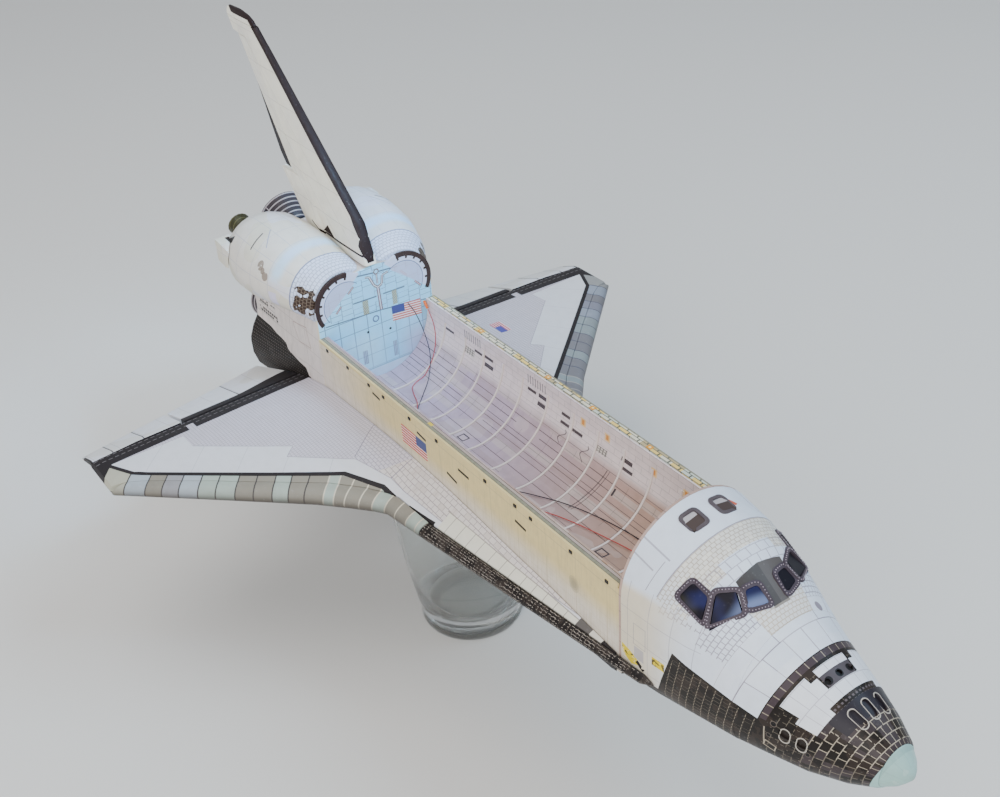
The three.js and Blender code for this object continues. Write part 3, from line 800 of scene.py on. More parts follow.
    def black_tiles(self, ink: Ink) -> None:
        """Draws the black side and the dark arc behind the nose, with their tile joints."""
        s, a = self.rings(ink)
        x, z = ink.x, ink.z
        flank = (z < 52.45 - x * 0.22) & (x > 111.1 + z * 0.296)
        arc = s > 143.6
        belly = z < 7
        ink.lay(self.black, flank | arc | belly)
        ink.lay("#2a211c", (flank | arc | belly) & (ink.noise(210, 3) > 0.5))
        columns = (flank & ~arc) & (x > 112.2 + z * 0.296) & (z < 51.6 - x * 0.22)
        dashes = s.lines(2.6, 0.22) & ~z.lines(1.5, 0.5)
        ink.lay(self.joint, columns & dashes, 0.6)
        rows = z.lines(1.5, 0.16) & (ink.chance(s.cell(2.6), z.cell(1.5)) > 0.5)
        ink.lay(self.joint, columns & rows, 0.3)
        band = s.within(143.9, 145.9) & (a < 82)
        ticks = a.lines(9.5, 0.8)
        ink.lay(self.joint, band & ticks, 0.9)
        ink.lay("#40353a", band & ~ticks)

    def nose_tiles(self, ink: Ink) -> None:
        """Draws the black nose: torn tile joints, a smooth band and a mottled tip."""
        s, a = self.rings(ink)
        nose = (s > 146.9) & (s < 158)
        torn = ink.noise(900, 1) * 1.1
        low = nose & (a > 62)
        ink.lay(self.joint, low & ink.bricks(a, s, (7.5, 2.4), (0.6, 0.2)) & (torn > 0.52), 0.35)
        high = nose & (a < 62)
        ink.lay(self.joint, high & ink.bricks(a, s, (9, 2.6), (0.7, 0.2)) & (torn > 0.5), 0.3)
        smooth = s.within(159.4, 165.4) & (a < 50)
        ink.lay(self.dark, smooth)
        edge = s.within(157.6, 159.4) & (a < 50)
        ink.lay("#6d6468", edge & a.lines(5.5, 2.8) & s.lines(1.2, 0.6), 0.7)
        tip = (s > 165.4) | ((s > 158) & (a > 50))
        size = ink.chance(s.cell(2.6), a.cell(14))
        ink.lay("#463c40", tip & (size > 0.5), 0.55)
        cracks = ink.bricks(a, s, (14, 2.6), (1.25, 0.25)) & (torn > 0.42)
        ink.lay("#b9ae9b", tip & cracks & (a < 88), 0.8)
        ink.lay(self.joint, tip & cracks & (a > 88), 0.4)

    def nose_panels(self, ink: Ink) -> None:
        """Draws the white panels and the grey strip of the nose."""
        s, a = self.rings(ink)
        white = ink.boxes(s, a, (((146.9, 153.3), (28.5, 62)), ((149.2, 153.3), (21, 28.5)),
                                 ((152.9, 159.2), (36, 69.5)), ((153.3, 157.2), (-1, 36)),
                                 ((147, 149.4), (-1, 19))))
        ink.lay("#e6eaf2", white)
        seams = ink.bricks(a, s, (14, 6.4), (0.7, 0.24))
        ink.lay(self.line, white & seams, 0.5)
        ink.lay("#4c464b", ink.box(s, a, (149.5, 153.4), (-1, 19)))

    def marks(self, ink: Ink) -> None:
        """Draws the small marks beside the ports, and the red mark by the cabin's top."""
        x, z = ink.x, ink.z
        flank = ink.side > 9
        for place in ((160.7, 18.1), (155.8, 18.4)):
            ink.lay("#2b2522", flank & ink.disc(x, z, place, 1.5))
        for place, radius in (((152.2, 20.6), 1.0), ((151.3, 16), 0.8), ((162.8, 15.8), 0.8)):
            ink.lay("#5d544e", flank & ink.disc(x, z, place, radius))
            ink.lay("#0f0c0d", flank & ink.disc(x, z, place, radius * 0.74))
        ink.lay("#453c45", (ink.side > 13) & ink.bar(x, z, (124.1, 47), (126.3, 39.6), 2.4))
        for place in (-4, 0, 4):
            ink.lay("#0b090b", ink.disc(x, ink.y, (158.4, place), 1.15) & (z > 26))
        frame = ink.bar(x, z, (150, 12.4), (153.6, 11.4), 2.6)
        inner = ink.bar(x, z, (150.35, 12.3), (153.25, 11.5), 1.9)
        ink.lay(self.joint, flank & frame & ~inner)
        ink.lay(self.joint, flank & ink.bar(x, z, (150.1, 11.6), (149.8, 18.4), 0.4))
        ink.lay("#d0634a", ink.bar(x, ink.y, (104.6, 8.6), (106.9, 10.2), 1.6) & (z > 48))
        spot = ink.disc(x, ink.y, (139.6, 11.5), 1.2) & (z > 30)
        ink.lay("#8f8894", spot)


@dataclass(frozen=True)
class CapPrint:
    """The pale green-grey tip of the nose."""

    card: str = "#a0c3be"
    shade: str = "#86a8a4"

    def make(self) -> bpy.types.Material:
        """Prints the cap with faint stripes that meet at its tip."""
        ink = Ink("cap_print", self.card, 0.38)
        around = ink.turn(ink.y, ink.z - 16)
        ink.lay(self.shade, around.lines(30, 1.5), 0.4)
        ink.lay("#bfd6d0", ink.noise(160, 3) > 0.56, 0.35)
        ink.lay(self.shade, (ink.x - ink.z * 0.26).within(174.6, 176.2), 0.5)
        return ink.print(0.10)


@dataclass(frozen=True)
class SidePrint:
    """The cream sides of the body, with short dark bars and a plain flag."""

    cream: str = "#dcc890"
    pale: str = "#dfd6ce"
    black: str = "#241f1e"
    streak: str = "#b5a67f"
    bars: Sequence[tuple[Pair, Pair]] = (
        ((-45.4, 33.2), (-40.1, 32.6)), ((-14.7, 32), (-8.9, 31.2)), ((11.3, 30.6), (17.9, 30.3)),
        ((44.4, 29.1), (50.4, 28.4)), ((3.6, 24.8), (9.7, 23.6)))
    flag: Flag = Flag((-25.9, -9.1), (22, 29.8), (-16.1, -9.1), (25.6, 29.8), (1.2, 0.78, 22.3),
                      "#f0e6e2", "#c8453a", "#47507f")

    def make(self) -> bpy.types.Material:
        """Prints the sides of the body."""
        ink = Ink("side_print", self.cream, 0.5)
        x, z = ink.x, ink.z
        outer = ink.side > 24.5
        ink.lay(self.pale, (-30 - x).ramp(0, 60), 0.8)
        ink.lay(self.pale, (27 - z).ramp(0, 11), 0.85)
        fine = ink.noise(90, 3, (22, 1, 1.2)).ramp(0.42, 0.7)
        ink.lay(self.streak, fine, 0.28)
        ink.lay(self.streak, x.lines(15.24, 0.25) & outer, 0.55)
        ink.lay(self.streak, (z - 34.2).within(-0.12, 0.12) & outer, 0.8)
        ink.lay(self.streak, (x.lines(5.08, 0.18) | z.lines(4.2, 0.18)) & outer & (z < 24), 0.35)
        ink.lay(self.black, outer & ink.bars(x, z, self.bars, 1.1))
        for radius in (2.6, 1.9, 1.2):
            ink.lay("#857c66", outer & ink.disc(x, z * 0.8, (75.2, 18.4), radius), 0.3)
        self.flag.draw(ink, x, z, ink.side > 24)
        ink.lay(self.black, z < 1.2)
        belly = ink.bricks(x, ink.y, (6.1, 6.1), (0.3, 0.3)) & (z < 1.2)
        ink.lay("#5c544f", belly, 0.6)
        return ink.print(0.10)


@dataclass(frozen=True)
class AftPrint:
    """The sides of the aft body: pale card, a black foot and small vents."""

    card: str = "#dfd6d2"
    black: str = "#140f0e"
    line: str = "#a99c98"
    foot: Sequence[Pair] = ((-143, 25), (-128.7, 24.4), (-115.4, 22.6), (-111.9, 20), (-100.9, 17.2),
                            (-99.3, 14))
    hatch: Sequence[Pair] = ((-107.6, 36), (-104, 28.3), (-94, 29.4), (-96.5, 37.8))

    def make(self) -> bpy.types.Material:
        """Prints the aft body."""
        ink = Ink("aft_print", self.card, 0.5)
        x, z = ink.x, ink.z
        outer = ink.side > 20
        ink.lay(self.line, ink.noise(90, 3, (18, 1, 1.2)).ramp(0.45, 0.7), 0.25)
        ink.lay(self.line, outer & (x.lines(12.7, 0.28, -85.2) | z.lines(8.4, 0.28, 3)), 0.6)
        stepped = (x > self.foot[0][0]) & ~ink.past(x, z, self.foot) & (x < self.foot[-1][0])
        dark = ((z < 14) | stepped) & (x < -98)
        ink.lay(self.black, dark)
        dots = x.lines(1.3, 0.5) & z.lines(1.3, 0.5)
        ink.lay("#6d645f", dark & dots & outer, 0.6)
        self.vents(ink, outer)
        ink.lay(self.black, z < 1.2)
        return ink.print(0.10)

    def vents(self, ink: Ink, outer: Value) -> None:
        """Prints the rows of dark vents and the pale hatch beside them."""
        x, z = ink.x, ink.z
        ticks = z.within(36, 39.4) & x.within(-139, -125.5) & x.lines(1.3, 0.6)
        ticks = ticks & (ink.chance(x.cell(1.3), z.cell(1.8)) > 0.12)
        cells = ink.chance(x.cell(1.9), z.cell(1.5))
        lattice = ~(x.lines(1.9, 0.4) | z.lines(1.5, 0.35))
        middle = z.within(32.6, 35.3) & x.within(-138, -123) & (cells > 0.3)
        low = z.within(28.4, 31.4) & x.within(-137.5, -122) & (cells > 0.15)
        ink.lay("#37302e", outer & (ticks | ((middle | low) & lattice)))
        ink.lay("#b39a92", ink.bars(x, z, closed(self.hatch), 0.35) & outer)


@dataclass(frozen=True)
class PodPrint:
    """The pods beside the fin: bluish bricks forward and white panels behind."""

    white: str = "#dfdbd4"
    brick: str = "#d6def2"
    joint: str = "#9aa0ba"
    brown: str = "#3a2c24"

    def make(self) -> bpy.types.Material:
        """Prints a pod."""
        ink = Ink("pod_print", self.white, 0.45)
        x, z, side = ink.x, ink.z, ink.side
        around = ink.turn(side - LOBE[0], z - LOBE[1])
        ink.lay("#d3cfb9", ink.noise(34, 1) > 0.52, 0.45)
        # Pale bluish blotches over the pods: painted highlights.
        ink.lay("#dfe0ee", ink.noise(40, 1, (1, 1, 2)) > 0.58, 0.6)
        # Bluish tint on the port pod: painted cool light, not the card's colour.
        ink.lay("#d9dcef", ink.y > 0, 0.55)
        ink.lay(self.joint, x.lines(11.5, 0.26, -96.4) | around.lines(24, 0.6), 0.45)
        # A soft pale blue band across the pods' tops: painted highlight.
        painted_highlight = x.ramp(-109, -105.4) * (-100.5 - x).ramp(0, 3.5) * (z - 55).ramp(0, 6)
        ink.lay("#c4e4ff", painted_highlight, 0.85)
        # A white-lilac patch on the pods' outer sides: painted highlight.
        ink.lay("#dcd8f0", ink.box(x, z, (-107.5, -103.5), (47, 53)) & (side > 28))
        front = x > -96.2
        ink.lay(self.brick, front)
        ink.lay(self.joint, front & ink.bricks(around, x, (6.4, 1.25), (0.9, 0.26)), 0.85)
        ink.lay("#7f86a4", x.within(-96.6, -96.1))
        patch = x.within(-95.2, -87.1) & z.within(47.0, 58.2) & (side > 24)
        ragged = ink.noise(330, 1) + abs(z - 52.6) * -0.035 + abs(x + 91.0) * -0.03
        patch = patch & (ragged > 0.3)
        ink.lay(self.brown, patch)
        ink.lay("#8b7b6c", patch & ink.bricks(around, x, (5.4, 1.3), (0.8, 0.2)), 0.6)
        for place, radius in (((-113.9, 61.2), 1.8), ((-109.9, 58.2), 1.7), ((-111.8, 59.8), 1.2)):
            blot = ink.disc(x, z, place, radius) & (ink.noise(500, 3) > 0.4) & (side > 30)
            ink.lay("#7d6a5a", blot, 0.8)
        ink.lay("#5b5553", ink.bar(x, side, (-124, 25.9), (-123.3, 32.6), 0.7) & (z > 62))
        ink.lay(self.joint, ink.bar(x, side, (-116, 28.9), (-123.1, 22.9), 0.4) & (z > 62))
        ink.lay("#2f2a28", x.within(-147, -139.5) & side.within(31.5, 33.4) & (z > 60))
        return ink.print(0.08)


@dataclass(frozen=True)
class BulkheadPrint:
    """The pale blue wall behind the bay, with a grid, a plain flag and pipes."""

    # The wall's blue is partly its own print and partly painted bluish light, printed deeper to stand in for
    # that light.
    blue: str = "#9ae0ff"
    line: str = "#60709a"
    pipe: str = "#866f78"
    rim: str = "#dfd4c2"
    flag: Flag = Flag((6.8, 20.4), (33.1, 40), (6.8, 12.7), (36.3, 40), (1.06, 0.53, 33.4),
                      "#efe6e6", "#cc5f52", "#474f8a")
    askew: float = 0.107
    bars: Sequence[tuple[Pair, Pair]] = (
        ((-9.9, 47.3), (0.7, 46.9)), ((3.8, 46.9), (13.7, 46.6)), ((-9, 58.7), (0.9, 57.4)),
        ((2.6, 57.3), (11.5, 56.5)))
    girders: Sequence[tuple[Pair, Pair]] = (((-23.1, 41.7), (2.2, 40.2)), ((2.2, 40.2), (23, 37.4)))
    tubes: Sequence[tuple[Pair, Pair, float]] = (
        ((2.2, 40.4), (1.8, 50.6), 1.5), ((1.8, 50.6), (0.2, 52), 1.2), ((0.2, 52), (-1.6, 56.3), 1.2),
        ((1.8, 50.6), (3.7, 51.5), 1.2), ((3.7, 51.5), (4.3, 55.2), 1.2), ((4.3, 55.2), (7, 55.8), 1.0),
        ((-1.6, 56.3), (-3.4, 56.6), 0.9), ((1.8, 52.3), (1.8, 56.4), 0.8))
    slants: Sequence[tuple[Pair, Pair]] = (
        ((12.6, 54.2), (15.2, 51.3)), ((18.6, 47.4), (21.3, 44.4)), ((-11.6, 52.3), (-8.9, 54.7)),
        ((-17.7, 45.7), (-15.2, 48.2)))

    def make(self) -> bpy.types.Material:
        """Prints the wall."""
        ink = Ink("bulkhead_print", self.blue, 0.5)
        y, z = ink.y, ink.z
        ink.lay("#b6ebff", ink.noise(50, 1).ramp(0.4, 0.7), 0.5)
        ink.lay("#c0c6e2", (y - 4).ramp(0, 14) * (34 - z).ramp(0, 14), 0.9)
        ink.lay("#c8f2ff", (6 - y).ramp(0, 14) * (37 - z).ramp(0, 12), 0.75)
        ink.lay("#d3e6fb", (15.2 - z).ramp(0, 0.8), 0.9)
        self.grid(ink)
        self.pipes(ink)
        out, up = ink.side - LOBE[0], z - LOBE[1]
        lobe = out * out + up * up
        high = (z > 42) & (ink.side > 6)
        ink.lay("#c3c2df", (lobe < 9.3 ** 2) & high & (ink.side * 0.8 + z > 62.6), 0.8)
        ink.lay("#d4dcf4", lobe.within(9.5 ** 2, 13.4 ** 2) & high & (ink.side * 0.9 + z > 64.6))
        ink.lay(self.line, lobe.within(9.2 ** 2, 9.5 ** 2) & high & (ink.side * 0.9 + z > 62))
        self.flag.draw(ink, y, z + (y - self.flag.across[0]) * self.askew)
        ink.lay(self.line, ink.hoop(y, z, (-0.8, 37.2), 1.5, 0.95))
        for spot in ((-5, 32.5), (5.2, 30.4)):
            ink.lay("#2f3340", ink.disc(y, z, spot, 0.55))
        ink.lay(self.rim, (ink.side > 26.1) & (z < 46))
        return ink.print(0.06)

    def grid(self, ink: Ink) -> None:
        """Draws the wall's tiles: small bricks above, larger panels below."""
        y, z = ink.y, ink.z
        upper = z > 40.4 - y * 0.1
        fine = ink.bricks(z, y, (2.35, 5.1), (0.22, 0.3)) & upper
        ink.lay(self.line, fine & (ink.chance(y.cell(5.1), z.cell(2.35)) > 0.15), 0.7)
        wide = (y.lines(6.3, 0.42, 1.6) | z.lines(6.2, 0.34, 3.4)) & ~upper & (z > 15.4)
        fade = 1 - (z - 30).ramp(8, -12) * 0.5
        ink.lay(self.line, wide * 0.7 * fade)
        ink.lay(self.line, z.within(15.0, 15.4), 0.5)
        rails = ink.bars(y, z, self.bars, 0.6) | ink.bars(y, z, self.girders, 0.5)
        ink.lay("#56607f", rails, 0.9)

    def pipes(self, ink: Ink) -> None:
        """Draws the branching pipe, the hatched panels and the slanted marks."""
        y, z = ink.y, ink.z
        for start, end, width in self.tubes:
            ink.lay(self.pipe, ink.bar(y, z, start, end, width))
            ink.lay("#d9e3f2", ink.bar(y, z, start, end, width * 0.3))
        ink.lay(self.pipe, ink.hoop(y, z, (1.8, 57.6), 1.25, 0.75))
        hatched = ink.boxes(y, z, (((-5.9, -3.3), (40.7, 46.8)), ((7.7, 9.9), (40.4, 46.7))))
        ink.lay("#8d8459", hatched, 0.8)
        ink.lay("#c8cbb4", hatched & (y * 2.2 + z).lines(1.5, 0.4))
        slotted = ink.boxes(y, z, (((-8.6, -6.4), (18.4, 24.7)), ((5.5, 7.5), (17, 24.1))))
        ink.lay("#8f93b0", slotted & ~y.lines(0.7, 0.16), 0.85)
        ink.lay("#866470", ink.bars(y, z, self.slants, 0.9))
        ink.lay("#d9b9c0", ink.bars(y, z, self.slants, 0.3))


@dataclass(frozen=True)
class WallPrint:
    """The pinkish wall in front of the bay, with plain panels."""

    card: str = "#bca196"
    line: str = "#6b5f60"

    def make(self) -> bpy.types.Material:
        """Prints the wall in rows of panels."""
        ink = Ink("forward_wall_print", self.card, 0.55)
        ink.lay("#a98d80", ink.noise(60, 2).ramp(0.4, 0.7), 0.5)
        panels = ink.bricks(ink.z, ink.y, (6.2, 9.4), (0.3, 0.3))
        ink.lay(self.line, panels, 0.6)
        return ink.print(0.06)


@dataclass(frozen=True)
class LinerPrint:
    """The bay's lining: pinkish panels, thin lines, dark vents and small boxes."""

    aft: str = "#beaec2"
    front: str = "#b5937c"
    line: str = "#554a49"
    dark: str = "#443d40"
    stringers: Sequence[Pair] = (
        (-52, 0.5), (-38, 0.4), (-22, 0.5), (-7, 0.4), (6.5, 0.5), (20.5, 0.4), (26, 0.4), (32, 0.5),
        (36.5, 0.4), (44, 0.5), (51, 0.5), (58.5, 0.4), (64.5, 0.5))
    slots: Sequence[tuple[Pair, Pair]] = (
        ((-70.7, -64.8), (80, 82.5)), ((-50, -45), (78, 80.5)), ((-43.2, -37.6), (79, 82)),
        ((-42.6, -36.9), (71, 75)), ((-15, -9.8), (78, 81)), ((-8.2, -3), (78, 82)),
        ((-8.1, -2.7), (70, 74)), ((5.8, 10.7), (77, 80)), ((6, 11.1), (69, 72)),
        ((12.5, 18.8), (69, 72)), ((39.7, 45.5), (74, 78)), ((40.3, 46.5), (67, 70)))
    marks: Sequence[Pair] = ((18, 31.4), (31.4, 32), (56.1, 31.3), (72, 31.6))

    def make(self) -> bpy.types.Material:
        """Prints the lining."""
        ink = Ink("liner_print", self.aft, 0.55)
        x = ink.x
        b = ink.turn(ink.y, BAY_AXIS - ink.z)
        ink.lay(self.front, (x + 40).ramp(-20, 130))
        ink.lay("#ddd2cc", ink.noise(45, 2) > 0.55, 0.25)
        self.lines(ink, b)
        self.vents(ink, b)
        self.small_marks(ink, b)
        return ink.print(0.12)

    def lines(self, ink: Ink, b: Value) -> None:
        """Draws the long thin lines and the panels' joints."""
        x = ink.x
        for place, width in self.stringers:
            stretch = ink.chance(x.cell(14.3), ink.maths("ADD", 0.0 * x, place)) > 0.1
            ink.lay(self.line, b.within(place - width * 0.75, place + width * 0.75) & stretch, 0.9)
        tone = ink.chance((x + 2.7).cell(14.3), b.cell(7))
        ink.lay("#d3c8c0", tone > 0.84, 0.4)
        ink.lay("#9c8378", tone.ramp(0.35, 0), 0.3)
        cross = x.lines(14.3, 0.24, -2.7) | (x.lines(14.3, 0.24, 4.4) & (tone > 0.7))
        ink.lay(self.line, cross, 0.4)
        ink.lay("#eee2e2", (b - 56).ramp(0, 12), 0.8)
        bricks = ink.bricks(x, b, (7.15, 6.2), (0.22, 0.5)) & (b > 66)
        ink.lay(self.line, bricks, 0.35)

    def vents(self, ink: Ink, b: Value) -> None:
        """Draws the dark slotted rectangles of the port wall."""
        x = ink.x
        slots = ink.boxes(x, b, self.slots)
        ink.lay(self.dark, slots)
        ink.lay("#8d8083", slots & b.lines(1.7, 0.4), 0.5)
        boxes = ink.boxes(x, b, (((-56.1, -49.8), (71, 78)), ((26.1, 32.6), (67, 73))))
        ink.lay("#d6cfc6", boxes)
        ink.lay(self.dark, boxes & (x.lines(1.6, 0.5) | b.lines(2.2, 0.6)), 0.8)

    def small_marks(self, ink: Ink, b: Value) -> None:
        """Draws the orange marks, the floor squares, the dark combs and the wavy lines."""
        x = ink.x
        port = ink.y > 20
        for place, height in self.marks:
            spot = ink.box(x, ink.z, (place - 1.5, place + 1.5), (height - 1.6, height + 1.6)) & port
            ink.lay("#efc98a", spot, 0.9)
            core = ink.box(x, ink.z, (place - 0.7, place + 0.7), (height - 1, height + 1))
            ink.lay("#d98a35", core & spot, 0.85)
        ink.lay(self.dark, ink.box(x, b, (41.9, 42.8), (42, 49)))
        square = ink.outline(x, b, (56.2, 60.6), (-9.5, -0.5), (0.6, 1.5))
        square = square | ink.outline(x, b, (-28.6, -24.4), (-6, 3), (0.55, 1.4))
        ink.lay(self.dark, square)
        comb = ink.z.within(31.8, 35.6) & port & x.lines(1.5, 0.45)
        ink.lay(self.dark, comb & x.among([(-58, -45.5), (-15.5, -3.6)]), 0.8)
        bend = 30 + b * 0.06 + ink.noise(30, 1) * 3
        harness = (abs(x - bend) < 0.22) | (abs(x - bend - 1.3) < 0.16)
        ink.lay(self.dark, harness & b.within(10, 58), 0.8)
        wavy = ink.maths("SINE", b * 0.42) * 1.5
        first = (abs(x - 9 - wavy) < 0.3) & b.within(52, 66)
        second = (abs(x - 22 - wavy) < 0.28) & b.within(50, 66)
        ink.lay(self.dark, first | second, 0.8)


@dataclass(frozen=True)
class SillPrint:
    """The flat strips along the bay: greenish card, with small boxes on the port one."""

    card: str = "#86836f"
    edge: str = "#47443e"

    def make(self, side: Side) -> bpy.types.Material:
        """Prints the strip of one side.

        Args:
            side: the craft's side that it lies on.

        Returns:
            The material.
        """
        port = side is Side.LEFT
        ink = Ink("sill_print_port" if port else "sill_print_starboard", self.card, 0.5)
        ink.lay("#9a9783", ink.noise(120, 3, (4, 1, 1)) > 0.5, 0.4)
        if port:
            self.boxes(ink)
        else:
            self.ledges(ink)
        return ink.print(0.1)

    def ledges(self, ink: Ink) -> None:
        """Draws the starboard strip's long thin lines, its cream edge and its yellow mark."""
        out = ink.side
        ink.lay("#dcc890", (out > 26.05) | (ink.z < 37.2))
        ink.lay("#b9a79f", out < 24.65)
        ink.lay(self.edge, out.within(24.65, 24.9), 0.8)
        ink.lay("#a89b8d", out.within(24.0, 24.25))
        ink.lay(self.edge, out.within(25.85, 26.05), 0.8)
        ink.lay("#d8be4f", ink.x.within(-9.6, -7) & (out < 25))

    def boxes(self, ink: Ink) -> None:
        """Draws two rows of small pale boxes with dark frames, some of them yellow."""
        x, side = ink.x, ink.side
        row = side.cell(1.5)
        pick = ink.chance(x.cell(5.2), row)
        boxes = side < 26.3
        ink.lay("#e2dcc6", boxes)
        ink.lay("#efd07c", boxes & (pick > 0.72))
        ink.lay("#cdd3c6", boxes & pick.within(0.3, 0.5))
        ink.lay("#bcab84", boxes & (pick < 0.16))
        shift = x + row * 1.7
        frames = shift.lines(5.2, 0.65) | side.lines(1.5, 0.3)
        ink.lay("#5b5d52", boxes & frames)
        for place in (-48.7, -5.5, 20.5, 51):
            mark = x.within(place - 1.2, place + 1.2) & side.within(24.2, 26.2)
            ink.lay("#e0962f", mark)
            ink.lay("#f2dfa6", x.within(place - 0.5, place + 0.5) & side.within(24.8, 25.7))


@dataclass(frozen=True)
class WingPrint:
    """The top of the wings: a fine grid, a smooth white border and the black hinge band."""

    card: str = "#cfcad4"
    white: str = "#dcdde3"
    line: str = "#8d8796"
    black: str = "#262224"
    border: Sequence[Pair] = (
        (-99.4, 113.5), (-96.6, 84.4), (-87.2, 84.5), (-59.4, 55.7), (-55.7, 60.2), (-35.8, 42),
        (-18.6, 37.2), (10.7, 35.5), (92, 25))
    stroke: Sequence[Pair] = (
        (-98.9, 113.9), (-87.9, 108.8), (-33.1, 48.5), (-18.3, 41), (6.4, 38.2), (10, 37.6))
    squares: Sequence[float] = (15.6, 21, 26.4, 31.5, 37.5, 43.2, 47.8, 53.4, 58.6, 63.9, 68.9, 73.6)
    flag: Flag = Flag((-83.2, -74), (51.5, 56.8), (-79.4, -74), (51.5, 54.8), (1.06, 0.66, 51.8),
                      "#eadfe2", "#d0606a", "#4f52a0")

    def make(self) -> bpy.types.Material:
        """Prints a wing."""
        ink = Ink("wing_print", self.card, 0.5)
        x, side = ink.x, ink.side
        fine = x.lines(1.25, 0.2) | side.lines(1.25, 0.2)
        coarse = ink.bricks(x, side, (2.9, 1.75), (0.2, 0.22))
        forward = x > -19 - (side - 27) * 0.5
        middle = x.within(-47, -19) & ~forward & (x > -47.1 + (side - 26.7) * 0.69)
        ink.lay(self.line, fine & ~forward & ~middle, 0.62)
        ink.lay(self.line, ink.bricks(x, side, (2.2, 1.3), (0.24, 0.22)) & middle, 0.8)
        ink.lay("#dcd5d0", forward, 0.8)
        ink.lay("#85787c", coarse & forward, 0.8)
        patches = ink.chance(x.cell(2.9), side.cell(1.75)) > 0.85
        ink.lay("#c9bfb9", patches & forward, 0.5)
        self.borders(ink)
        EdgePrint().panels(ink, ink.past(x, side, self.stroke) & (x < 10))
        self.strokes(ink)
        self.glove(ink)
        self.hinge(ink)
        self.flag.draw(ink, x, ink.y)
        below = ink.upward() < -0.05
        ink.lay(self.black, below)
        ink.lay("#5c5651", below & ink.bricks(x, side, (6.1, 6.1), (0.3, 0.3)), 0.6)
        return ink.print(0.05)

    def borders(self, ink: Ink) -> None:
        """Draws the smooth band along the front, with its thin joints."""
        x, side = ink.x, ink.side
        band = ink.past(x, side, self.border)
        ink.lay(self.white, band)
        ink.lay(self.line, band & ((x - side).lines(25, 0.3, -90) & (x < -35)), 0.35)
        ink.lay(self.line, ink.bars(x, side, zip(self.border[2:], self.border[3:]), 0.28), 0.7)
        ends = (((-47.1, 26.7), (-36.7, 41.8)), ((-19, 27.5), (-18.6, 37.2)))
        ink.lay(self.line, ink.bars(x, side, ends, 0.35))

    def strokes(self, ink: Ink) -> None:
        """Draws the black line along the edge's panels."""
        x, side = ink.x, ink.side
        ink.lay(self.black, ink.bars(x, side, zip(self.stroke, self.stroke[1:]), 1.7))
        for place in self.stroke[1:-1]:
            ink.lay(self.black, ink.disc(x, side, place, 0.85))

    def glove(self, ink: Ink) -> None:
        """Draws the row of large squares along the body's front half."""
        x, side = ink.x, ink.side
        row = x.within(12, 78.8) & ink.past(x, side, ((10.7, 31.8), (92, 27)))
        ink.lay("#e0ded2", row)
        joints = x.among([(place - 0.14, place + 0.14) for place in self.squares])
        ink.lay("#8f8980", row & joints, 0.8)
        ink.lay("#8f8980", ink.bar(x, side, (10.7, 31.8), (78.8, 27.8), 0.3), 0.8)
        ink.lay("#5f5b59", ink.box(x, side, (78.8, 84.8), (26.8, 31)))
        ink.lay("#d9d5cb", ink.box(x, side, (84.8, 90), (26.8, 31)))
        ink.lay(self.black, x > 90)

    def hinge(self, ink: Ink) -> None:
        """Draws the black band along the hinges and the black tip, with their dashes."""
        x, side = ink.x, ink.side
        band = (x < -99.3) & (side > 27) & ~ink.box(x, side, (-103.4, -99), (77.4, 80.4))
        band = band | ink.wing_tip()
        ink.lay(self.black, band)
        dash = x.among([(-103.4, -103), (-105.9, -105.5)]) & side.lines(2.6, 1.6)
        ink.lay("#8a8588", band & dash, 0.6)


@dataclass(frozen=True)
class ElevonPrint:
    """The flaps at the back of the wings: white with thin divisions and a black front."""

    white: str = "#dfdfe3"
    line: str = "#4c464c"
    black: str = "#262224"

    def make(self) -> bpy.types.Material:
        """Prints a flap."""
        ink = Ink("elevon_print", self.white, 0.5)
        x, side = ink.x, ink.side
        ink.lay("#d3d0c8", ink.noise(40, 1) > 0.5, 0.5)
        for place in (53.8, 96.3, 109.2):
            ink.lay(self.line, abs(side - place) < 0.25)
        ink.lay("#a29da6", side.lines(10.6, 0.25, 32), 0.5)
        inboard = (side < 80) & (x > -116 + (side - 32.6).ramp(0, 24) * 4.9)
        front = inboard | ((side > 80) & (x > -107.6)) | ((side > 117.6) & (x > -118))
        ink.lay(self.black, front)
        ink.lay(self.black, ink.upward() < -0.2)
        return ink.print(0.06)


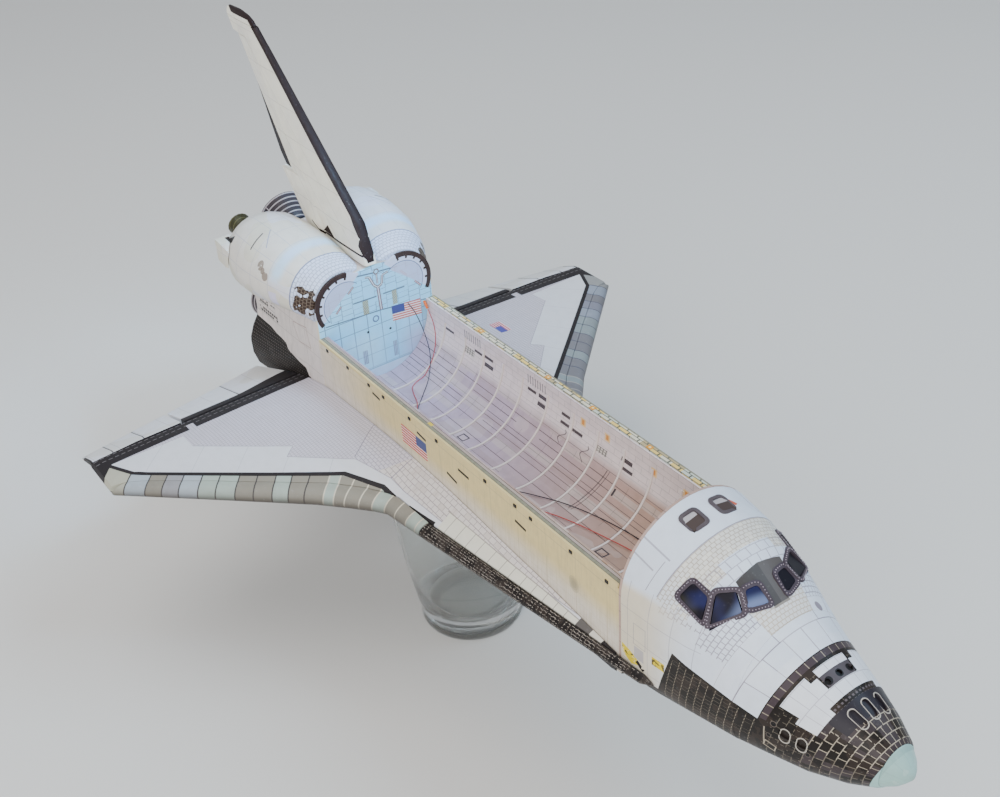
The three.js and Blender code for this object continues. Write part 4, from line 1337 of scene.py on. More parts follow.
@dataclass(frozen=True)
class EdgePrint:
    """The wings' front edges: panels of grey, pale green and tan with thin joints."""

    card: str = "#b4b2a1"
    black: str = "#262224"
    green: str = "#a9b5ab"
    blue: str = "#acb5bc"
    grey: str = "#9b9a9e"
    tan: str = "#8f8a7e"
    joint: str = "#4a4645"
    pale: str = "#d3cbb8"
    joints: Sequence[Pair] = (
        (-84.4, 113.2), (-78.6, 107.5), (-74.3, 102.7), (-69.7, 98.1), (-64.8, 92.6), (-60.3, 87.5),
        (-55.2, 82), (-50.6, 76.8), (-45.9, 71.5), (-41.9, 66.9), (-37.7, 62.2), (-32, 57.5),
        (-29.2, 54.6), (-25.4, 51.9), (-20.4, 49.2), (-15.9, 47), (-11.2, 45.3), (-6, 43.8), (0, 42.8),
        (5, 42.2))

    def make(self) -> bpy.types.Material:
        """Prints an edge, with painted shade underneath and on the port side."""
        ink = Ink("edge_print", self.card, 0.42)
        self.panels(ink, ink.x < 20)
        # Darker towards the bottom of the edge: painted shade on its underside.
        ink.lay("#433e3b", (10.9 - ink.z).ramp(0, 4.6), 0.85)
        ink.lay(self.black, ink.wing_tip())
        return ink.print(0.12)

    def panels(self, ink: Ink, where: Value) -> None:
        """Draws one panel after the other from the tip.

        Args:
            ink: the print they are drawn in.
            where: the part of it that they cover.
        """
        ink.lay(self.card, where)
        tones = (self.blue, self.tan, self.grey, self.blue, self.green, self.green, self.tan, self.tan,
                 self.green, self.tan, self.tan, self.green, self.tan, self.tan, self.tan, self.green,
                 self.tan, self.tan, self.green, self.green)
        runs = []
        for number, (x, side) in enumerate(self.joints):
            x0, y0 = self.joints[max(number - 1, 0)]
            x1, y1 = self.joints[min(number + 1, len(self.joints) - 1)]
            length = math.hypot(x1 - x0, y1 - y0)
            dx, dy = (x1 - x0) / length, (y1 - y0) / length
            runs.append((ink.x - x) * dx + (ink.side - side) * dy)
        for run, tone in zip(runs, tones):
            ink.lay(tone, (run > 0) & where)
        for number, run in enumerate(runs):
            ink.lay(self.joint if number < 11 else self.pale, run.within(-0.26, 0.26) & where)
        # The port-side panels are printed darker and bluer: painted shade on the edge facing away from the
        # light.
        ink.lay("#5d6484", where & (ink.y > 0), 0.45)


@dataclass(frozen=True)
class StrakePrint:
    """The black strips in front of the wings, with rows of light dashes."""

    black: str = "#1a1514"
    dash: str = "#c2b8ae"

    def make(self) -> bpy.types.Material:
        """Prints a strip, its rows running along the edge."""
        ink = Ink("strake_print", self.black, 0.42)
        inner = 37.7 - (ink.x - 10) * 0.119
        around = ink.turn(ink.z - 7.5, ink.side - inner)
        for part, pitch in ((ink.x < 48, 15), (ink.x > 48, 23)):
            shift = ink.x + around.cell(pitch) * 0.93
            rows = around.lines(pitch, pitch * 0.32) & shift.lines(2.1, 1.1)
            some = ink.chance(shift.cell(2.1), around.cell(pitch)) > 0.35
            ink.lay(self.dash, rows & some & part, 0.7)
        across = ink.x.lines(1.9, 0.18) & (ink.chance(ink.x.cell(1.9), around.cell(15)) > 0.6)
        ink.lay(self.dash, across, 0.35)
        ink.lay("#3d342f", ink.noise(260, 2) > 0.55, 0.4)
        return ink.print(0.08)


@dataclass(frozen=True)
class FinPrint:
    """The cream fin with its dark front edge."""

    cream: str = "#f4f1e4"
    dark: str = "#26181a"
    line: str = "#a39b90"
    inner: Sequence[Pair] = (
        (61, -84), (64, -85.2), (68.8, -88.7), (71.8, -87.9), (79.8, -93.2), (98, -114.4),
        (116.8, -135.1), (130.6, -150.6), (140.4, -162.3), (143, -163))

    def make(self) -> bpy.types.Material:
        """Prints the fin, the rudder and the housing at their foot."""
        ink = Ink("fin_print", self.cream, 0.5)
        x, z = ink.x, ink.z
        sweep = x + z * 1.11
        ink.lay(self.line, z.lines(12.5, 0.3, 61) | sweep.lines(13, 0.35, -20), 0.4)
        ink.lay("#e4e2e4", ink.noise(40, 2).ramp(0.45, 0.75), 0.4)
        ink.lay(self.dark, ink.past(z, x, self.inner))
        ink.lay(self.dark, ink.shape(x, z, ((-117.3, 65.1), (-108.4, 65.1), (-113.2, 68.8))))
        # The dark line along the fin's root is partly its black root band and partly painted shade in the
        # gap between fin and body.
        ink.lay(self.dark, ink.bar(x, z, (-126.5, 66.3), (-115.8, 64.2), 0.9))
        ink.lay(self.dark, ink.bar(x, z, (-116, 64.5), (-86, 65.2), 0.9))
        ink.lay(self.dark, (z > 140.2) & (x > -177.3))
        ink.lay(self.dark, (z > 140.2 - (x + 177.3) * 0.62) & (x < -177.2))
        return ink.print(0.08)


@dataclass(frozen=True)
class BandedPrint:
    """Dark card with pale hoops or tile joints, in one tone."""

    name: str
    card: str
    line: str
    pitch: Pair
    roughness: float = 0.45

    def make(self) -> bpy.types.Material:
        """Prints the card with a grid of faint lines."""
        ink = Ink(self.name, self.card, self.roughness)
        grid = ink.x.lines(self.pitch[0], 0.35) | ink.y.lines(self.pitch[1], 0.35)
        ink.lay(self.line, grid, 0.55)
        ink.lay(self.line, ink.noise(90, 3).ramp(0.5, 0.8), 0.2)
        return ink.print(0.1)


@dataclass(frozen=True)
class PanePrint:
    """The printed window panes: very dark blue with a soft printed reflection."""

    night: str = "#17151f"
    glow: str = "#7c8bb4"

    def make(self) -> bpy.types.Material:
        """Prints the panes."""
        ink = Ink("pane_print", self.night, 0.5)
        ink.shader.inputs["Specular IOR Level"].default_value = 0.12
        ink.lay("#3a382a", (123.5 - ink.x).ramp(0, 3) * (45.5 - ink.z).ramp(0, 3), 0.8)
        near = ink.y < 0
        ink.lay("#262b5c", ink.noise(130, 1).ramp(0.4, 0.7) * near, 0.7)
        ink.lay(self.glow, (ink.x - 128.4).ramp(0, 4) * (47.5 - ink.z).ramp(0, 2.4) * near, 0.75)
        roof = ink.z > 54
        ink.lay("#4b403d", roof)
        # A pale patch on the roof panes' aft outer corner: painted highlight.
        ink.lay("#c9c3c6", roof & (ink.x < 104.9) & (ink.side > 3.6), 0.75)
        return ink.print(0.02, 0.1)


@dataclass(frozen=True)
class Plain:
    """An even finish with slight wear, for plastics, frames and bare card."""

    name: str
    colour: str
    roughness: float
    wear: str

    def make(self) -> bpy.types.Material:
        """Makes the finish."""
        ink = Ink(self.name, self.colour, self.roughness)
        ink.lay(self.wear, ink.noise(300, 3).ramp(0.5, 0.85), 0.35)
        return ink.print(0.04, 0.2)


@dataclass(frozen=True)
class Glass:
    """Clear polished glass with a faint unevenness."""

    tint: str = "#f4f7f5"
    ior: float = 1.5

    def make(self) -> bpy.types.Material:
        """Makes the glass."""
        ink = Ink("clear_glass_surface", self.tint)
        settings = {"Base Color": hue(self.tint), "Roughness": 0.02, "IOR": self.ior,
                    "Specular IOR Level": 0.5, "Transmission Weight": 1.0, "Alpha": 0.85}
        for name, value in settings.items():
            ink.shader.inputs[name].default_value = value
        bump = ink.node("ShaderNodeBump", {"Height": ink.noise(30), "Strength": 0.12, "Distance": MM})
        ink.tree.links.new(bump.outputs[0], ink.shader.inputs["Normal"])
        return ink.material


# Camera, light and floor


@dataclass(frozen=True)
class View:
    """The photograph's viewpoint."""

    place: Sequence[float] = (0.3196, -0.2096, 0.3794)
    right: Sequence[float] = (0.57910, 0.81325, -0.05717)
    up: Sequence[float] = (-0.42793, 0.36291, 0.82775)
    ahead: Sequence[float] = (-0.69391, 0.45489, -0.55818)
    lens: float = 47.05

    def build(self) -> None:
        """Sets up the camera."""
        data = bpy.data.cameras.new("photo_view")
        data.lens = self.lens
        data.sensor_width = 36
        data.clip_start = 0.01
        camera = new_object("photo_view", data)
        turn = Matrix((self.right, self.up, [-v for v in self.ahead])).transposed().to_4x4()
        camera.matrix_world = Matrix.Translation(self.place) @ turn
        bpy.context.scene.camera = camera


@dataclass(frozen=True)
class Lamp:
    """One soft round light.

    Attributes:
        name: its name.
        place: where it hangs (m).
        target: what it faces (m).
        size: its width (m).
        power: its power in watts.
        colour: red, green and blue.
        spread: how wide its beam is, in degrees.
    """

    name: str
    place: Place
    target: Place
    size: float
    power: float
    colour: tuple[float, float, float]
    spread: float = 180.0

    def hang(self) -> None:
        """Adds the light to the scene."""
        lamp = bpy.data.lights.new(self.name, "AREA")
        lamp.shape = "DISK"
        lamp.color = self.colour
        lamp.size = self.size
        lamp.energy = self.power
        lamp.spread = math.radians(self.spread)
        light = new_object(self.name, lamp)
        light.matrix_world = aimed(self.place, Vector(self.target) - Vector(self.place), "-Z")


@dataclass(frozen=True)
class Studio:
    """A pale floor, soft lights and even air."""

    floor: str = "#e6e4e0"
    air: str = "#e2e6ec"
    width: float = 4.0
    lights: Sequence[Lamp] = (
        Lamp("window_light", (0.45, 0.6, 1.1), (0, 0, 0.1), 0.8, 8.6, (0.55, 0.78, 1.0)),
        Lamp("front_light", (0.75, -0.95, 0.75), (0, 0, 0.1), 1.0, 13.5, (1.0, 0.97, 0.93)),
        Lamp("top_light", (-0.1, -0.3, 1.3), (0, 0, 0.1), 1.0, 6.0, (1.0, 1.0, 1.0)),
        Lamp("bay_light", (0.12, 0.08, 0.42), (-0.12, 0, 0.14), 0.1, 0.055, (0.35, 0.66, 1.0), 30),
    )

    def build(self) -> None:
        """Lays the floor, hangs the lights and colours the air."""
        self.lay_floor()
        for lamp in self.lights:
            lamp.hang()
        world = bpy.data.worlds.new("studio_air")
        world.use_nodes = True
        background = world.node_tree.nodes["Background"]
        background.inputs["Color"].default_value = hue(self.air)
        background.inputs["Strength"].default_value = 0.62
        bpy.context.scene.world = world

    def lay_floor(self) -> None:
        """Lays the square floor that the glass stands on."""
        mesh = bmesh.new()
        bmesh.ops.create_grid(mesh, x_segments=1, y_segments=1, size=self.width / 2)
        data = stored("studio_floor", mesh)
        material, shader = new_material("studio_floor_paper")
        shader.inputs["Base Color"].default_value = hue(self.floor)
        shader.inputs["Roughness"].default_value = 0.8
        data.materials.append(material)
        floor = new_object("studio_floor", data)


# Wires


@dataclass
class Lead:
    """One thin wire that lies in the bay, both its ends going into the model."""

    name: str
    diameter: float
    route: Sequence[Place]
    steps: int = 9

    def path(self) -> list[Vector]:
        """The smooth line through the route's points, in metres.

        Returns:
            Close points along the line.
        """
        knots = [in_frame(place) for place in self.route]
        knots = [knots[0] * 2 - knots[1], *knots, knots[-1] * 2 - knots[-2]]
        line = []
        for p0, p1, p2, p3 in zip(knots, knots[1:], knots[2:], knots[3:]):
            t0 = 0.0
            t1 = t0 + (p1 - p0).length ** 0.5
            t2 = t1 + (p2 - p1).length ** 0.5
            t3 = t2 + (p3 - p2).length ** 0.5
            for k in range(self.steps):
                t = t1 + (t2 - t1) * k / self.steps
                a1 = p0.lerp(p1, (t - t0) / (t1 - t0))
                a2 = p1.lerp(p2, (t - t1) / (t2 - t1))
                a3 = p2.lerp(p3, (t - t2) / (t3 - t2))
                b1 = a1.lerp(a2, (t - t0) / (t2 - t0))
                b2 = a2.lerp(a3, (t - t1) / (t3 - t1))
                line.append(b1.lerp(b2, (t - t1) / (t2 - t1)))
        return [*line, knots[-2]]

    def build(self, material: bpy.types.Material, slot: Slot, node: str,
              with_pieces: Sequence[bpy.types.Object] = ()) -> bpy.types.Object:
        """Args:
            material: its insulation.
            slot: the record's slot. Not used.
            node: the solid that it stands for.
            with_pieces: separate pieces on it. Not used.

        Returns:
            The curve's object.
        """
        line = self.path()
        data = bpy.data.curves.new(self.name, "CURVE")
        data.dimensions = "3D"
        data.bevel_depth = self.diameter / 2
        data.bevel_resolution = 3
        data.use_fill_caps = True
        spline = data.splines.new("POLY")
        spline.points.add(len(line) - 1)
        for point, place in zip(spline.points, line):
            point.co = (*place, 1)
        data.materials.append(material)
        wire = new_object(self.name, data)
        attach(wire, BODY)
        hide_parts(node)
        length = sum((b - a).length for a, b in zip(line, line[1:]))
        LOG.info("%s: %.3f m long", self.name, length)
        return wire


@dataclass
class Leads:
    """The two wires of the bay and the orange sleeve that the red one leaves."""

    thickness: float = 0.36 * MM
    black: Sequence[Place] = (
        (-84.7, 14.2, 39), (-82, 15.6, 35), (-78, 16.6, 27), (-74, 15.8, 21.2), (-71.2, 14.2, 18.4),
        (-65, 9, 14.6), (-58.5, 2, 13), (-53, -3.4, 13.2), (-49, -6.6, 13.6), (-44, -9, 13.8),
        (-36, -10.6, 14.2), (-22, -11.4, 14.6), (-10, -10.9, 14.4), (-2, -9.6, 14.2), (4, -8, 13.9),
        (12, -6.6, 12.7), (20, -1.2, 11.7), (28, 2.9, 11.8), (38, 6, 12.4), (50, 8.4, 13.2),
        (64, 10, 13.9), (80, 10.8, 14.4), (96.6, 11, 14.7))
    red: Sequence[Place] = (
        (-82.2, 21.9, 34.05), (-78.5, 21.6, 29), (-75.3, 20, 24), (-72.4, 16.6, 19), (-70.4, 12.9, 15.8),
        (-69, 9.2, 13.5), (-69.2, 6, 12.3), (-67.6, 2.6, 11.7), (-63, 0.4, 11.5), (-58, -1.4, 11.6),
        (-50, -5.8, 12.3), (-40, -8.4, 13.2), (-26, -9, 13.4), (-10, -8.6, 13.2), (6, -8.5, 13.2),
        (18, -8.2, 13.1), (27, -6, 12.35), (34, -2.2, 11.7), (42, 0.6, 11.6), (52, 3, 11.8),
        (66, 5.6, 12.3), (82, 6.8, 12.7), (96.6, 7.2, 12.9))

    def build(self) -> None:
        """Lays both wires."""
        sleeve = card("wire_sleeve", Plain("sleeve_print", "#d9652b", 0.4, "#e88a4c").make(),
                      Slot.SLEEVE, 60)
        black = Plain("black_insulation", "#2b2a30", 0.35, "#45434c").make()
        red = Plain("red_insulation", "#c04844", 0.35, "#d46a60").make()
        Lead("black_wire", self.thickness, self.black).build(black, Slot.BLACK_WIRE, "wire_black")
        Lead("red_wire", self.thickness, self.red).build(red, Slot.RED_WIRE, "wire_red", [sleeve])


# Sub-assemblies


@dataclass
class Window:
    """One printed window: its pane and the frame round it.

    Attributes:
        name: its name in the solids' names.
        corners: the corners of the one on the right side (mm).
        frame: how far the frame reaches outwards (mm).
        proud: how far the frame stands off the cabin (mm).
        roof: whether it is in the roof. Those frames are grey and have no beads.
    """

    name: str
    corners: Sequence[Place]
    frame: float = 1.25
    proud: float = 0.3
    roof: bool = False

    def outline(self, side: Side) -> list[Vector]:
        """The pane's rounded outline in metres, on either side of the craft."""
        return rounded([in_frame((x, -side.value * y, z)) for x, y, z in self.corners], 1.5 * MM)


@dataclass(frozen=True)
class Port:
    """One oval port in the nose.

    Attributes:
        middle: its middle (mm).
        long: its size along the craft (mm).
        wide: its size across the craft (mm).
    """

    middle: Place
    long: float
    wide: float

    def outline(self, skin: Skin) -> list[Vector]:
        """The port's rim on the skin, in metres.

        Args:
            skin: the nose's surface.

        Returns:
            The places round the rim.
        """
        middle = in_frame(self.middle)
        outward = (skin.nearest(middle, 0.01) - skin.nearest(middle, 0)).normalized()
        ahead = (Vector((1, 0, 0)) - outward * outward.x).normalized()
        around = outward.cross(ahead)
        narrow, full = sorted((self.long, self.wide))
        main, cross = (ahead, around) if self.long > self.wide else (around, ahead)
        places = []
        for k in range(32):
            turn = 2 * math.pi * k / 32
            straight = math.copysign((full - narrow) / 2, math.cos(turn))
            places.append(middle + main * ((math.cos(turn) * narrow / 2 + straight) * MM)
                          + cross * (math.sin(turn) * narrow / 2 * MM))
        return places


@dataclass
class Forward:
    """The nose, the cabin, its windows and ports, and the wall in front of the bay."""

    windows: Sequence[Window] = (
        Window("side", ((117.5, -16.5, 48.4), (124, -15.8, 46.3), (125.7, -19.9, 39.8),
                        (115.8, -20.9, 43.7))),
        Window("middle", ((124, -14.4, 47.5), (128.1, -9, 47.9), (132.7, -10.8, 43.6),
                          (126.9, -19.6, 39.4))),
        Window("front", ((128.2, -7.9, 47.3), (129.4, -3.1, 48), (135.3, -3.1, 44.4),
                         (132.9, -9.6, 44.2))),
        Window("overhead", ((102.4, -8.3, 57), (102.8, -2.9, 57), (109, -2.9, 57),
                            (108.6, -8.1, 57)), 0.85, roof=True),
    )
    ports: Sequence[Port] = (
        Port((169.5, 0, 28.9), 6, 2.4), Port((169.5, -4.3, 28.1), 6, 2.4), Port((169.5, 4.3, 28.1), 6, 2.4),
        Port((160.7, -15.1, 18.1), 2.8, 4.2), Port((155.8, -16.6, 18.4), 2.8, 4.2),
        Port((160.7, 15.1, 18.1), 2.8, 4.2), Port((155.8, 16.6, 18.4), 2.8, 4.2),
    )

    def build(self) -> None:
        """Dresses the forward end."""
        card("nose_cap", CapPrint().make(), Slot.CAP, 50, [(180.8, 180.53)])
        module = ForwardPrint().make()
        card("forward_module", module, Slot.BLACK, 40, [(140.86, 140.62)])
        card("cabin_shell", module, Slot.WHITE, 40, [(98.2, 97.95)])
        self.frames()
        self.rims()
        card("forward_bulkhead", WallPrint().make(), Slot.LINING, 40)

    def frames(self) -> None:
        """Glazes the windows, lays a frame round each and beads on the lower ones."""
        pane = PanePrint().make()
        dark = Plain("frame_print", "#453c45", 0.45, "#5f5560").make()
        grey = Plain("roof_frame_print", "#544c50", 0.45, "#7d757a").make()
        bead = Plain("bead_print", "#a79ba6", 0.45, "#7c727c").make()
        skin = Skin("cabin_shell")
        dots = []
        for window in self.windows:
            for side in (Side.RIGHT, Side.LEFT):
                card(f"window_{window.name}_{side.hand}", pane, Slot.PANE, 50)
                outline = window.outline(side)
                strip = ring_on(skin, outline, (0.5, window.frame), window.proud)
                finish = grey if window.roof else dark
                new_piece(f"frame_{window.name}_{side.hand}", strip, finish, Slot.DARK)
                if not window.roof:
                    dots.append(beads_on(skin, outline, window.frame * 0.42, 0.95, 0.2))
        new_piece("frame_beads", join(dots), bead, Slot.DARK)

    def rims(self) -> None:
        """Draws a pale rim round each port."""
        rim = Plain("rim_print", "#b5aea4", 0.45, "#8b857c").make()
        skin = Skin("forward_module")
        rings = [ring_on(skin, port.outline(skin), (-0.06, 0.4), 0.1) for port in self.ports]
        new_piece("port_rims", join(rings), rim, Slot.DARK)


@dataclass
class Bay:
    """The open bay: its sides, lining, sills, hoops and aft wall."""

    radius: float = 22.86
    hoop_width: float = 0.8
    hoop_height: float = 0.4
    ribs: Sequence[float] = (84.5, 70, 55.5, 41, 26.8, 12.6, -2.7, -18.2, -30.9, -43.6, -56.5, -71.2)
    latches: Sequence[float] = (-78.9, -63.1, -47.4, -37, -19.1, -1.4, 28.1, 45, 53.5, 74.1, 91.5)

    def build(self) -> None:
        """Dresses the bay."""
        card("mid_fuselage", SidePrint().make(), Slot.CREAM, 30, [(96.7, 96.97), (-84.8, -85.08)])
        card("bay_liner", LinerPrint().make(), Slot.LINING, 40)
        for side in Side:
            card(f"sill_{side.hand}", SillPrint().make(side), Slot.SILL, 30)
        card("aft_bulkhead", BulkheadPrint().make(), Slot.BLUE, 40)
        self.hoops()
        self.catches()
        self.lobe_rings()

    def lobe_rings(self) -> None:
        """Lays the dark toothed ring along both lobes of the aft wall."""
        parts = []
        for side in (Side.RIGHT, Side.LEFT):
            middle = in_frame((0, side.value * LOBE[0], LOBE[1]))
            ring = self.arc((-86.05, -84.95), (11.3, 13.15), -30, 100, 40)
            parts.append(self.mirrored(ring, side, middle))
            for k in range(6):
                start = -8 + k * 20.5
                tooth = self.arc((-85.3, -84.95), (10.3, 11.4), start, start + 4.6, 3)
                parts.append(self.mirrored(tooth, side, middle))
        mesh = join(parts)
        crease(mesh, 40)
        brown = Plain("lobe_ring_print", "#3b2d2b", 0.5, "#5e4a44").make()
        new_piece("bulkhead_rings", mesh, brown, Slot.DARK)

    def arc(self, xs: Pair, radii: Pair, start: float, end: float, steps: int) -> bmesh.types.BMesh:
        """A flat arc about the craft's long axis.

        Args:
            xs: its back and front along the craft (mm).
            radii: its inner and outer radius (mm).
            start: the angle where it starts, in degrees from port towards the top.
            end: the angle where it ends.
            steps: how many steps it has.

        Returns:
            The closed mesh.
        """
        mesh = bmesh.new()
        corners = [(xs[0], radii[0]), (xs[1], radii[0]), (xs[1], radii[1]), (xs[0], radii[1])]
        face = mesh.faces.new([mesh.verts.new((x * MM, r * MM, 0)) for x, r in corners])
        bmesh.ops.rotate(mesh, cent=(0, 0, 0), matrix=Matrix.Rotation(math.radians(start), 3, "X"),
                         verts=mesh.verts)
        bmesh.ops.spin(mesh, geom=[face, *mesh.edges, *mesh.verts], cent=(0, 0, 0), axis=(1, 0, 0),
                       angle=math.radians(end - start), steps=steps, use_merge=False,
                       use_duplicate=False)
        return mesh

    def mirrored(self, mesh: bmesh.types.BMesh, side: Side, middle: Vector) -> bmesh.types.BMesh:
        """Turns a left piece to its side of the craft and moves it to its place."""
        bmesh.ops.scale(mesh, vec=(1, side.value, 1), verts=mesh.verts)
        bmesh.ops.translate(mesh, vec=middle, verts=mesh.verts)
        bmesh.ops.recalc_face_normals(mesh, faces=mesh.faces)
        return mesh

    def hoops(self) -> None:
        """Glues the pale hoops to the lining."""
        rings = []
        radii = (self.radius - self.hoop_height, self.radius + 0.15)
        for place in self.ribs:
            xs = (place - self.hoop_width / 2, place + self.hoop_width / 2)
            hoop = self.arc(xs, radii, -176, -4, 56)
            rings.append(self.mirrored(hoop, Side.LEFT, in_frame((0, 0, BAY_AXIS))))
        mesh = join(rings)
        crease(mesh, 40)
        pale = Plain("hoop_card", "#e3d8d2", 0.5, "#cfc0b4").make()
        new_piece("bay_hoops", mesh, pale, Slot.CREAM)

    def catches(self) -> None:
        """Sets the small black catches along both sills."""
        blocks = []
        for place in self.latches:
            for side in (Side.RIGHT, Side.LEFT):
                low, high = sorted((side.value * 26.2, side.value * 27.0))
                blocks.append(block((place - 0.75, low, 34.9), (place + 0.75, high, 36.1)))
        dark = Plain("catch_print", "#221f20", 0.4, "#4a4648").make()
        new_piece("sill_catches", join(blocks), dark, Slot.DARK)


@dataclass
class Tail:
    """The aft body, the fin and the pods beside it.

    Attributes:
        tuck: where along the craft the housing narrows towards the rudder (mm).
        narrow: how wide it is from there on, as a share.
        strip: the outline of the strip behind the rudder, along the craft and in height (mm).
    """

    tuck: float = -127.0
    narrow: float = 0.42
    strip: Sequence[Pair] = (
        (-173.4, 130.6), (-168.6, 121.6), (-163.6, 111.4), (-158, 98.6), (-152.6, 87.2), (-149, 82.8),
        (-141.2, 82.2), (-152, 99), (-160.4, 112))

    def build(self) -> None:
        """Dresses the aft end."""
        card("aft_fuselage", AftPrint().make(), Slot.CREAM, 30, [(-86.28, -86.02)])
        fin = FinPrint().make()
        card("vertical_fin", fin, Slot.CREAM, 40)
        card("rudder", fin, Slot.CREAM, 40)
        self.housing(fin)
        self.rudder_strip()
        card("fin_tip", fin, Slot.DARK, 40)
        pod = PodPrint().make()
        bronze = BandedPrint("nozzle_print", "#35331f", "#716d49", (2.1, 30), 0.35).make()
        for side in Side:
            card(f"oms_pod_{side.hand}", pod, Slot.WHITE, 40)
            card(f"thruster_box_{side.hand}", pod, Slot.WHITE, 30)
            card(f"oms_nozzle_{side.hand}", bronze, Slot.BRONZE, 40)

    def housing(self, finish: bpy.types.Material) -> None:
        """Stands the housing at the rudder's foot, its tail drawn in to the rudder's width."""
        mesh = merged("parachute_housing")
        for vertex in mesh.verts:
            if vertex.co.x < self.tuck * MM and abs(vertex.co.y) > 1.5 * MM:
                vertex.co.y *= self.narrow
        crease(mesh, 40)
        new_piece("parachute_housing_card", mesh, finish, Slot.CREAM, ["parachute_housing"])

    def rudder_strip(self) -> None:
        """Adds the dark card strip that shows behind the rudder, wider at its foot."""
        mesh = bmesh.new()
        face = mesh.faces.new([mesh.verts.new(in_frame((x, 0.15, z))) for x, z in self.strip])
        plate = bmesh.ops.extrude_face_region(mesh, geom=[face])
        bmesh.ops.translate(mesh, vec=(0, 0.5 * MM, 0),
                            verts=[g for g in plate["geom"] if isinstance(g, bmesh.types.BMVert)])
        bmesh.ops.recalc_face_normals(mesh, faces=mesh.faces)
        strip = Plain("rudder_strip_print", "#2c282d", 0.5, "#464047").make()
        new_piece("rudder_strip", mesh, strip, Slot.DARK)


@dataclass(frozen=True)
class Bell:
    """One engine bell.

    Attributes:
        name: its name in the solids' names.
        middle: its middle (mm above the table).
        mouth: which way its mouth points.
        half: half of its length (mm).
        neck: its radius at the neck (mm).
        rim: its radius at the mouth (mm).
        wall: how thick its wall is (mm).
        rows: how many rows of faces it has.
    """

    name: str
    middle: Place
    mouth: Place
    half: float
    neck: float = 6.6
    rim: float = 11.05
    wall: float = 0.6
    rows: int = 14

    def place(self) -> Matrix:
        """Turns the bell's axis from +Z to its own place, in metres."""
        return aimed(Vector(self.middle) * MM, Vector(self.mouth), "Z")

    def radius(self, share: float) -> float:
        """The bell's outer radius at a share of its length from the neck."""
        return self.neck + (self.rim - self.neck) * share ** 0.7

    def along(self, share: float) -> float:
        """The place along the bell's axis at a share of its length from the neck."""
        return self.half * (2 * share - 1)

    def shell(self) -> bmesh.types.BMesh:
        """The bell's thin card wall, closed at its neck."""
        outer, inner = [(0.0, -self.half)], [(0.0, -self.half + self.wall)]
        for k in range(self.rows + 1):
            share = k / self.rows
            outer.append((self.radius(share), self.along(share)))
            if k:
                inner.append((self.radius(share) - self.wall, self.along(share)))
        return turned([*outer, *reversed(inner)], 72, self.place())

    def hoops(self) -> bmesh.types.BMesh:
        """Thin pale hoops round the bell, with four ribs between them."""
        parts = []
        for k in range(6):
            share = 0.06 + k * 0.178
            along, out = self.along(share), self.radius(share)
            section = [(out - 0.1, along - 0.24), (out + 0.28, along - 0.17),
                       (out + 0.28, along + 0.17), (out - 0.1, along + 0.24)]
            parts.append(turned(section, 72, self.place()))
        return join(parts + [self.rib(38 + 90 * k) for k in range(4)])

    def rib(self, angle: float, steps: int = 8) -> bmesh.types.BMesh:
        """A thin strip along the bell's outside.

        Args:
            angle: its place round the bell, in degrees.
            steps: how many places along the bell it goes through.

        Returns:
            The strip's mesh.
        """
        mesh = bmesh.new()
        rows = []
        for k in range(steps):
            share = 0.04 + k / (steps - 1) * 0.92
            along, out = self.along(share), self.radius(share)
            corners = ((out - 0.1, -0.16), (out + 0.2, -0.16), (out + 0.2, 0.16), (out - 0.1, 0.16))
            rows.append([mesh.verts.new((r * MM, w * MM, along * MM)) for r, w in corners])
            for ends in closed(rows[-1]):
                mesh.edges.new(ends)
        for pair in zip(rows, rows[1:]):
            edges = [e for e in mesh.edges if any(set(e.verts) <= set(row) for row in pair)]
            bmesh.ops.bridge_loops(mesh, edges=edges)
        bmesh.ops.holes_fill(mesh, edges=mesh.edges, sides=4)
        bmesh.ops.recalc_face_normals(mesh, faces=mesh.faces)
        turn = Matrix.Rotation(math.radians(angle), 4, "Z")
        bmesh.ops.transform(mesh, matrix=self.place() @ turn, verts=mesh.verts)
        return mesh


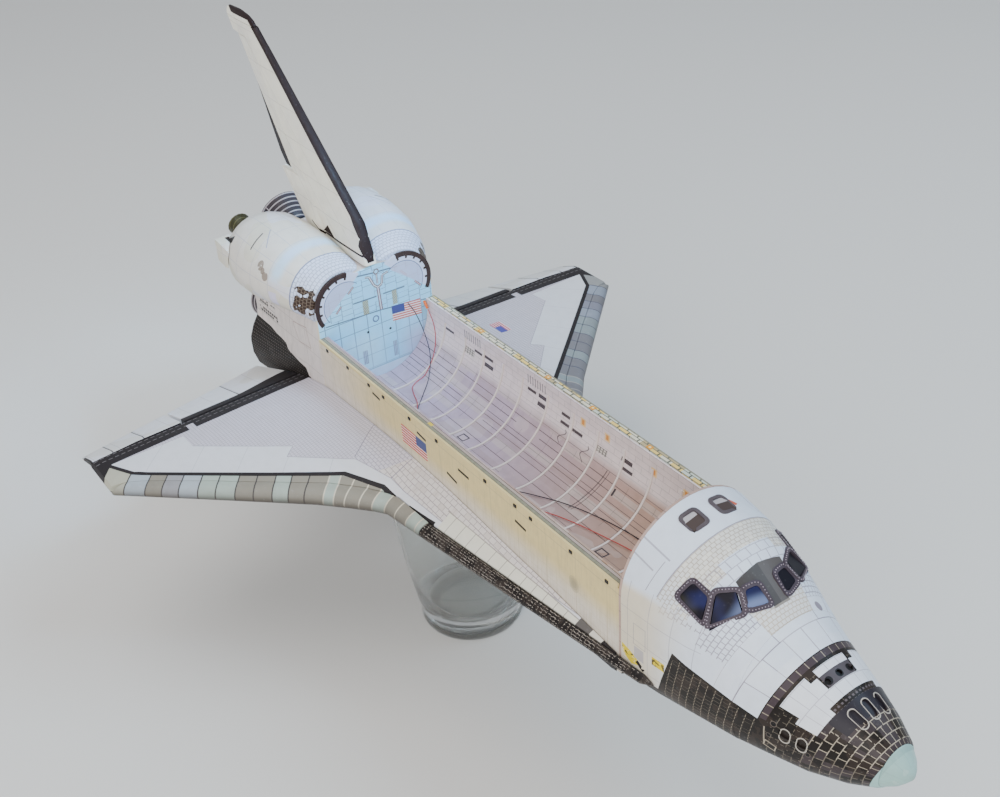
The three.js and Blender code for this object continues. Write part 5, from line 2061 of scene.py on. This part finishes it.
@dataclass
class Engines:
    """The heat shield with its three domes and bells, and the flap below them."""

    bells: Sequence[Bell] = (
        Bell("top", (-154.63, 0, 134.46), (-0.9511, 0, 0.309), 6.2),
        Bell("right", (-152.4, -12.54, 101.95), (-0.9884, -0.0605, 0.1392), 4.15),
        Bell("left", (-152.4, 12.54, 101.95), (-0.9884, 0.0605, 0.1392), 4.15),
    )

    def build(self) -> None:
        """Dresses the engines."""
        shield = BandedPrint("shield_print", "#332e2c", "#6b645f", (5, 5)).make()
        bell_card = Plain("bell_print", "#3b353a", 0.4, "#5a535a").make()
        hoop_card = Plain("bell_hoop_print", "#bdb6bb", 0.45, "#8f888d").make()
        card("base_heat_shield", shield, Slot.DARK, 30, [(-141.1, -140.85)])
        card("body_flap", shield, Slot.DARK, 30)
        for bell in self.bells:
            card(f"engine_dome_{bell.name}", shield, Slot.DARK, 40)
            shell = bell.shell()
            crease(shell, 50)
            new_piece(f"bell_{bell.name}", shell, bell_card, Slot.BELL, [f"engine_bell_{bell.name}"])
            hoops = bell.hoops()
            crease(hoops, 30)
            new_piece(f"bell_hoops_{bell.name}", hoops, hoop_card, Slot.BELL)


@dataclass
class Wings:
    """Both wings with their front edges, strakes and flaps."""

    def build(self) -> None:
        """Dresses the wings."""
        wing = WingPrint().make()
        edge = EdgePrint().make()
        strake = StrakePrint().make()
        flaps = ElevonPrint().make()
        for side in Side:
            card(f"wing_{side.hand}", wing, Slot.LAVENDER, 30)
            card(f"leading_edge_{side.hand}", edge, Slot.EDGE, 40)
            card(f"strake_edge_{side.hand}", strake, Slot.BLACK, 40)
            for flap in ("inboard", "outboard"):
                card(f"elevon_{flap}_{side.hand}", flaps, Slot.WHITE, 30)


@dataclass
class Tumbler:
    """The drinking glass that the model stands on."""

    middle: float = -31.9
    outer: Sequence[Pair] = (
        (0, 0.5), (12, 0.5), (14, 0), (19.2, 0), (20.4, 0.3), (21, 0.9), (21.4, 2.4), (21.3, 4), (21.2, 5),
        (21.6, 7.6), (22.6, 12), (24.3, 22.4), (26.2, 34), (27.7, 46), (29, 58), (30, 69), (30.8, 79.1),
        (30.5, 79.6), (30.1, 79.72), (29.7, 79.6))
    inner: Sequence[Pair] = (
        (29.4, 79.1), (27.6, 58), (26.3, 46), (24.8, 34), (23.1, 22.6), (21.2, 14), (19.9, 11.6), (18, 10.4),
        (14, 9.5), (10, 9.2), (5, 9.05), (0, 9))

    def build(self) -> None:
        """Blows the glass."""
        place = Matrix.Translation((self.middle * MM, 0, 0))
        mesh = turned([*self.outer, *self.inner], 96, place)
        crease(mesh, 40)
        new_piece("tumbler", mesh, Glass().make(), Slot.GLASS, ["glass_stand"])


def note_sizes() -> None:
    """Brings the scene's placements up to date."""
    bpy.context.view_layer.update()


def main() -> None:
    """Builds the scene: camera and wires first, then the model from nose to tail."""
    logging.basicConfig(level=logging.INFO)
    View().build()
    Leads().build()
    Studio().build()
    for assembly in (Forward(), Bay(), Tail(), Engines(), Wings(), Tumbler()):
        assembly.build()
        LOG.info("%s done", type(assembly).__name__)
    note_sizes()


if __name__ == "__main__":
    main()
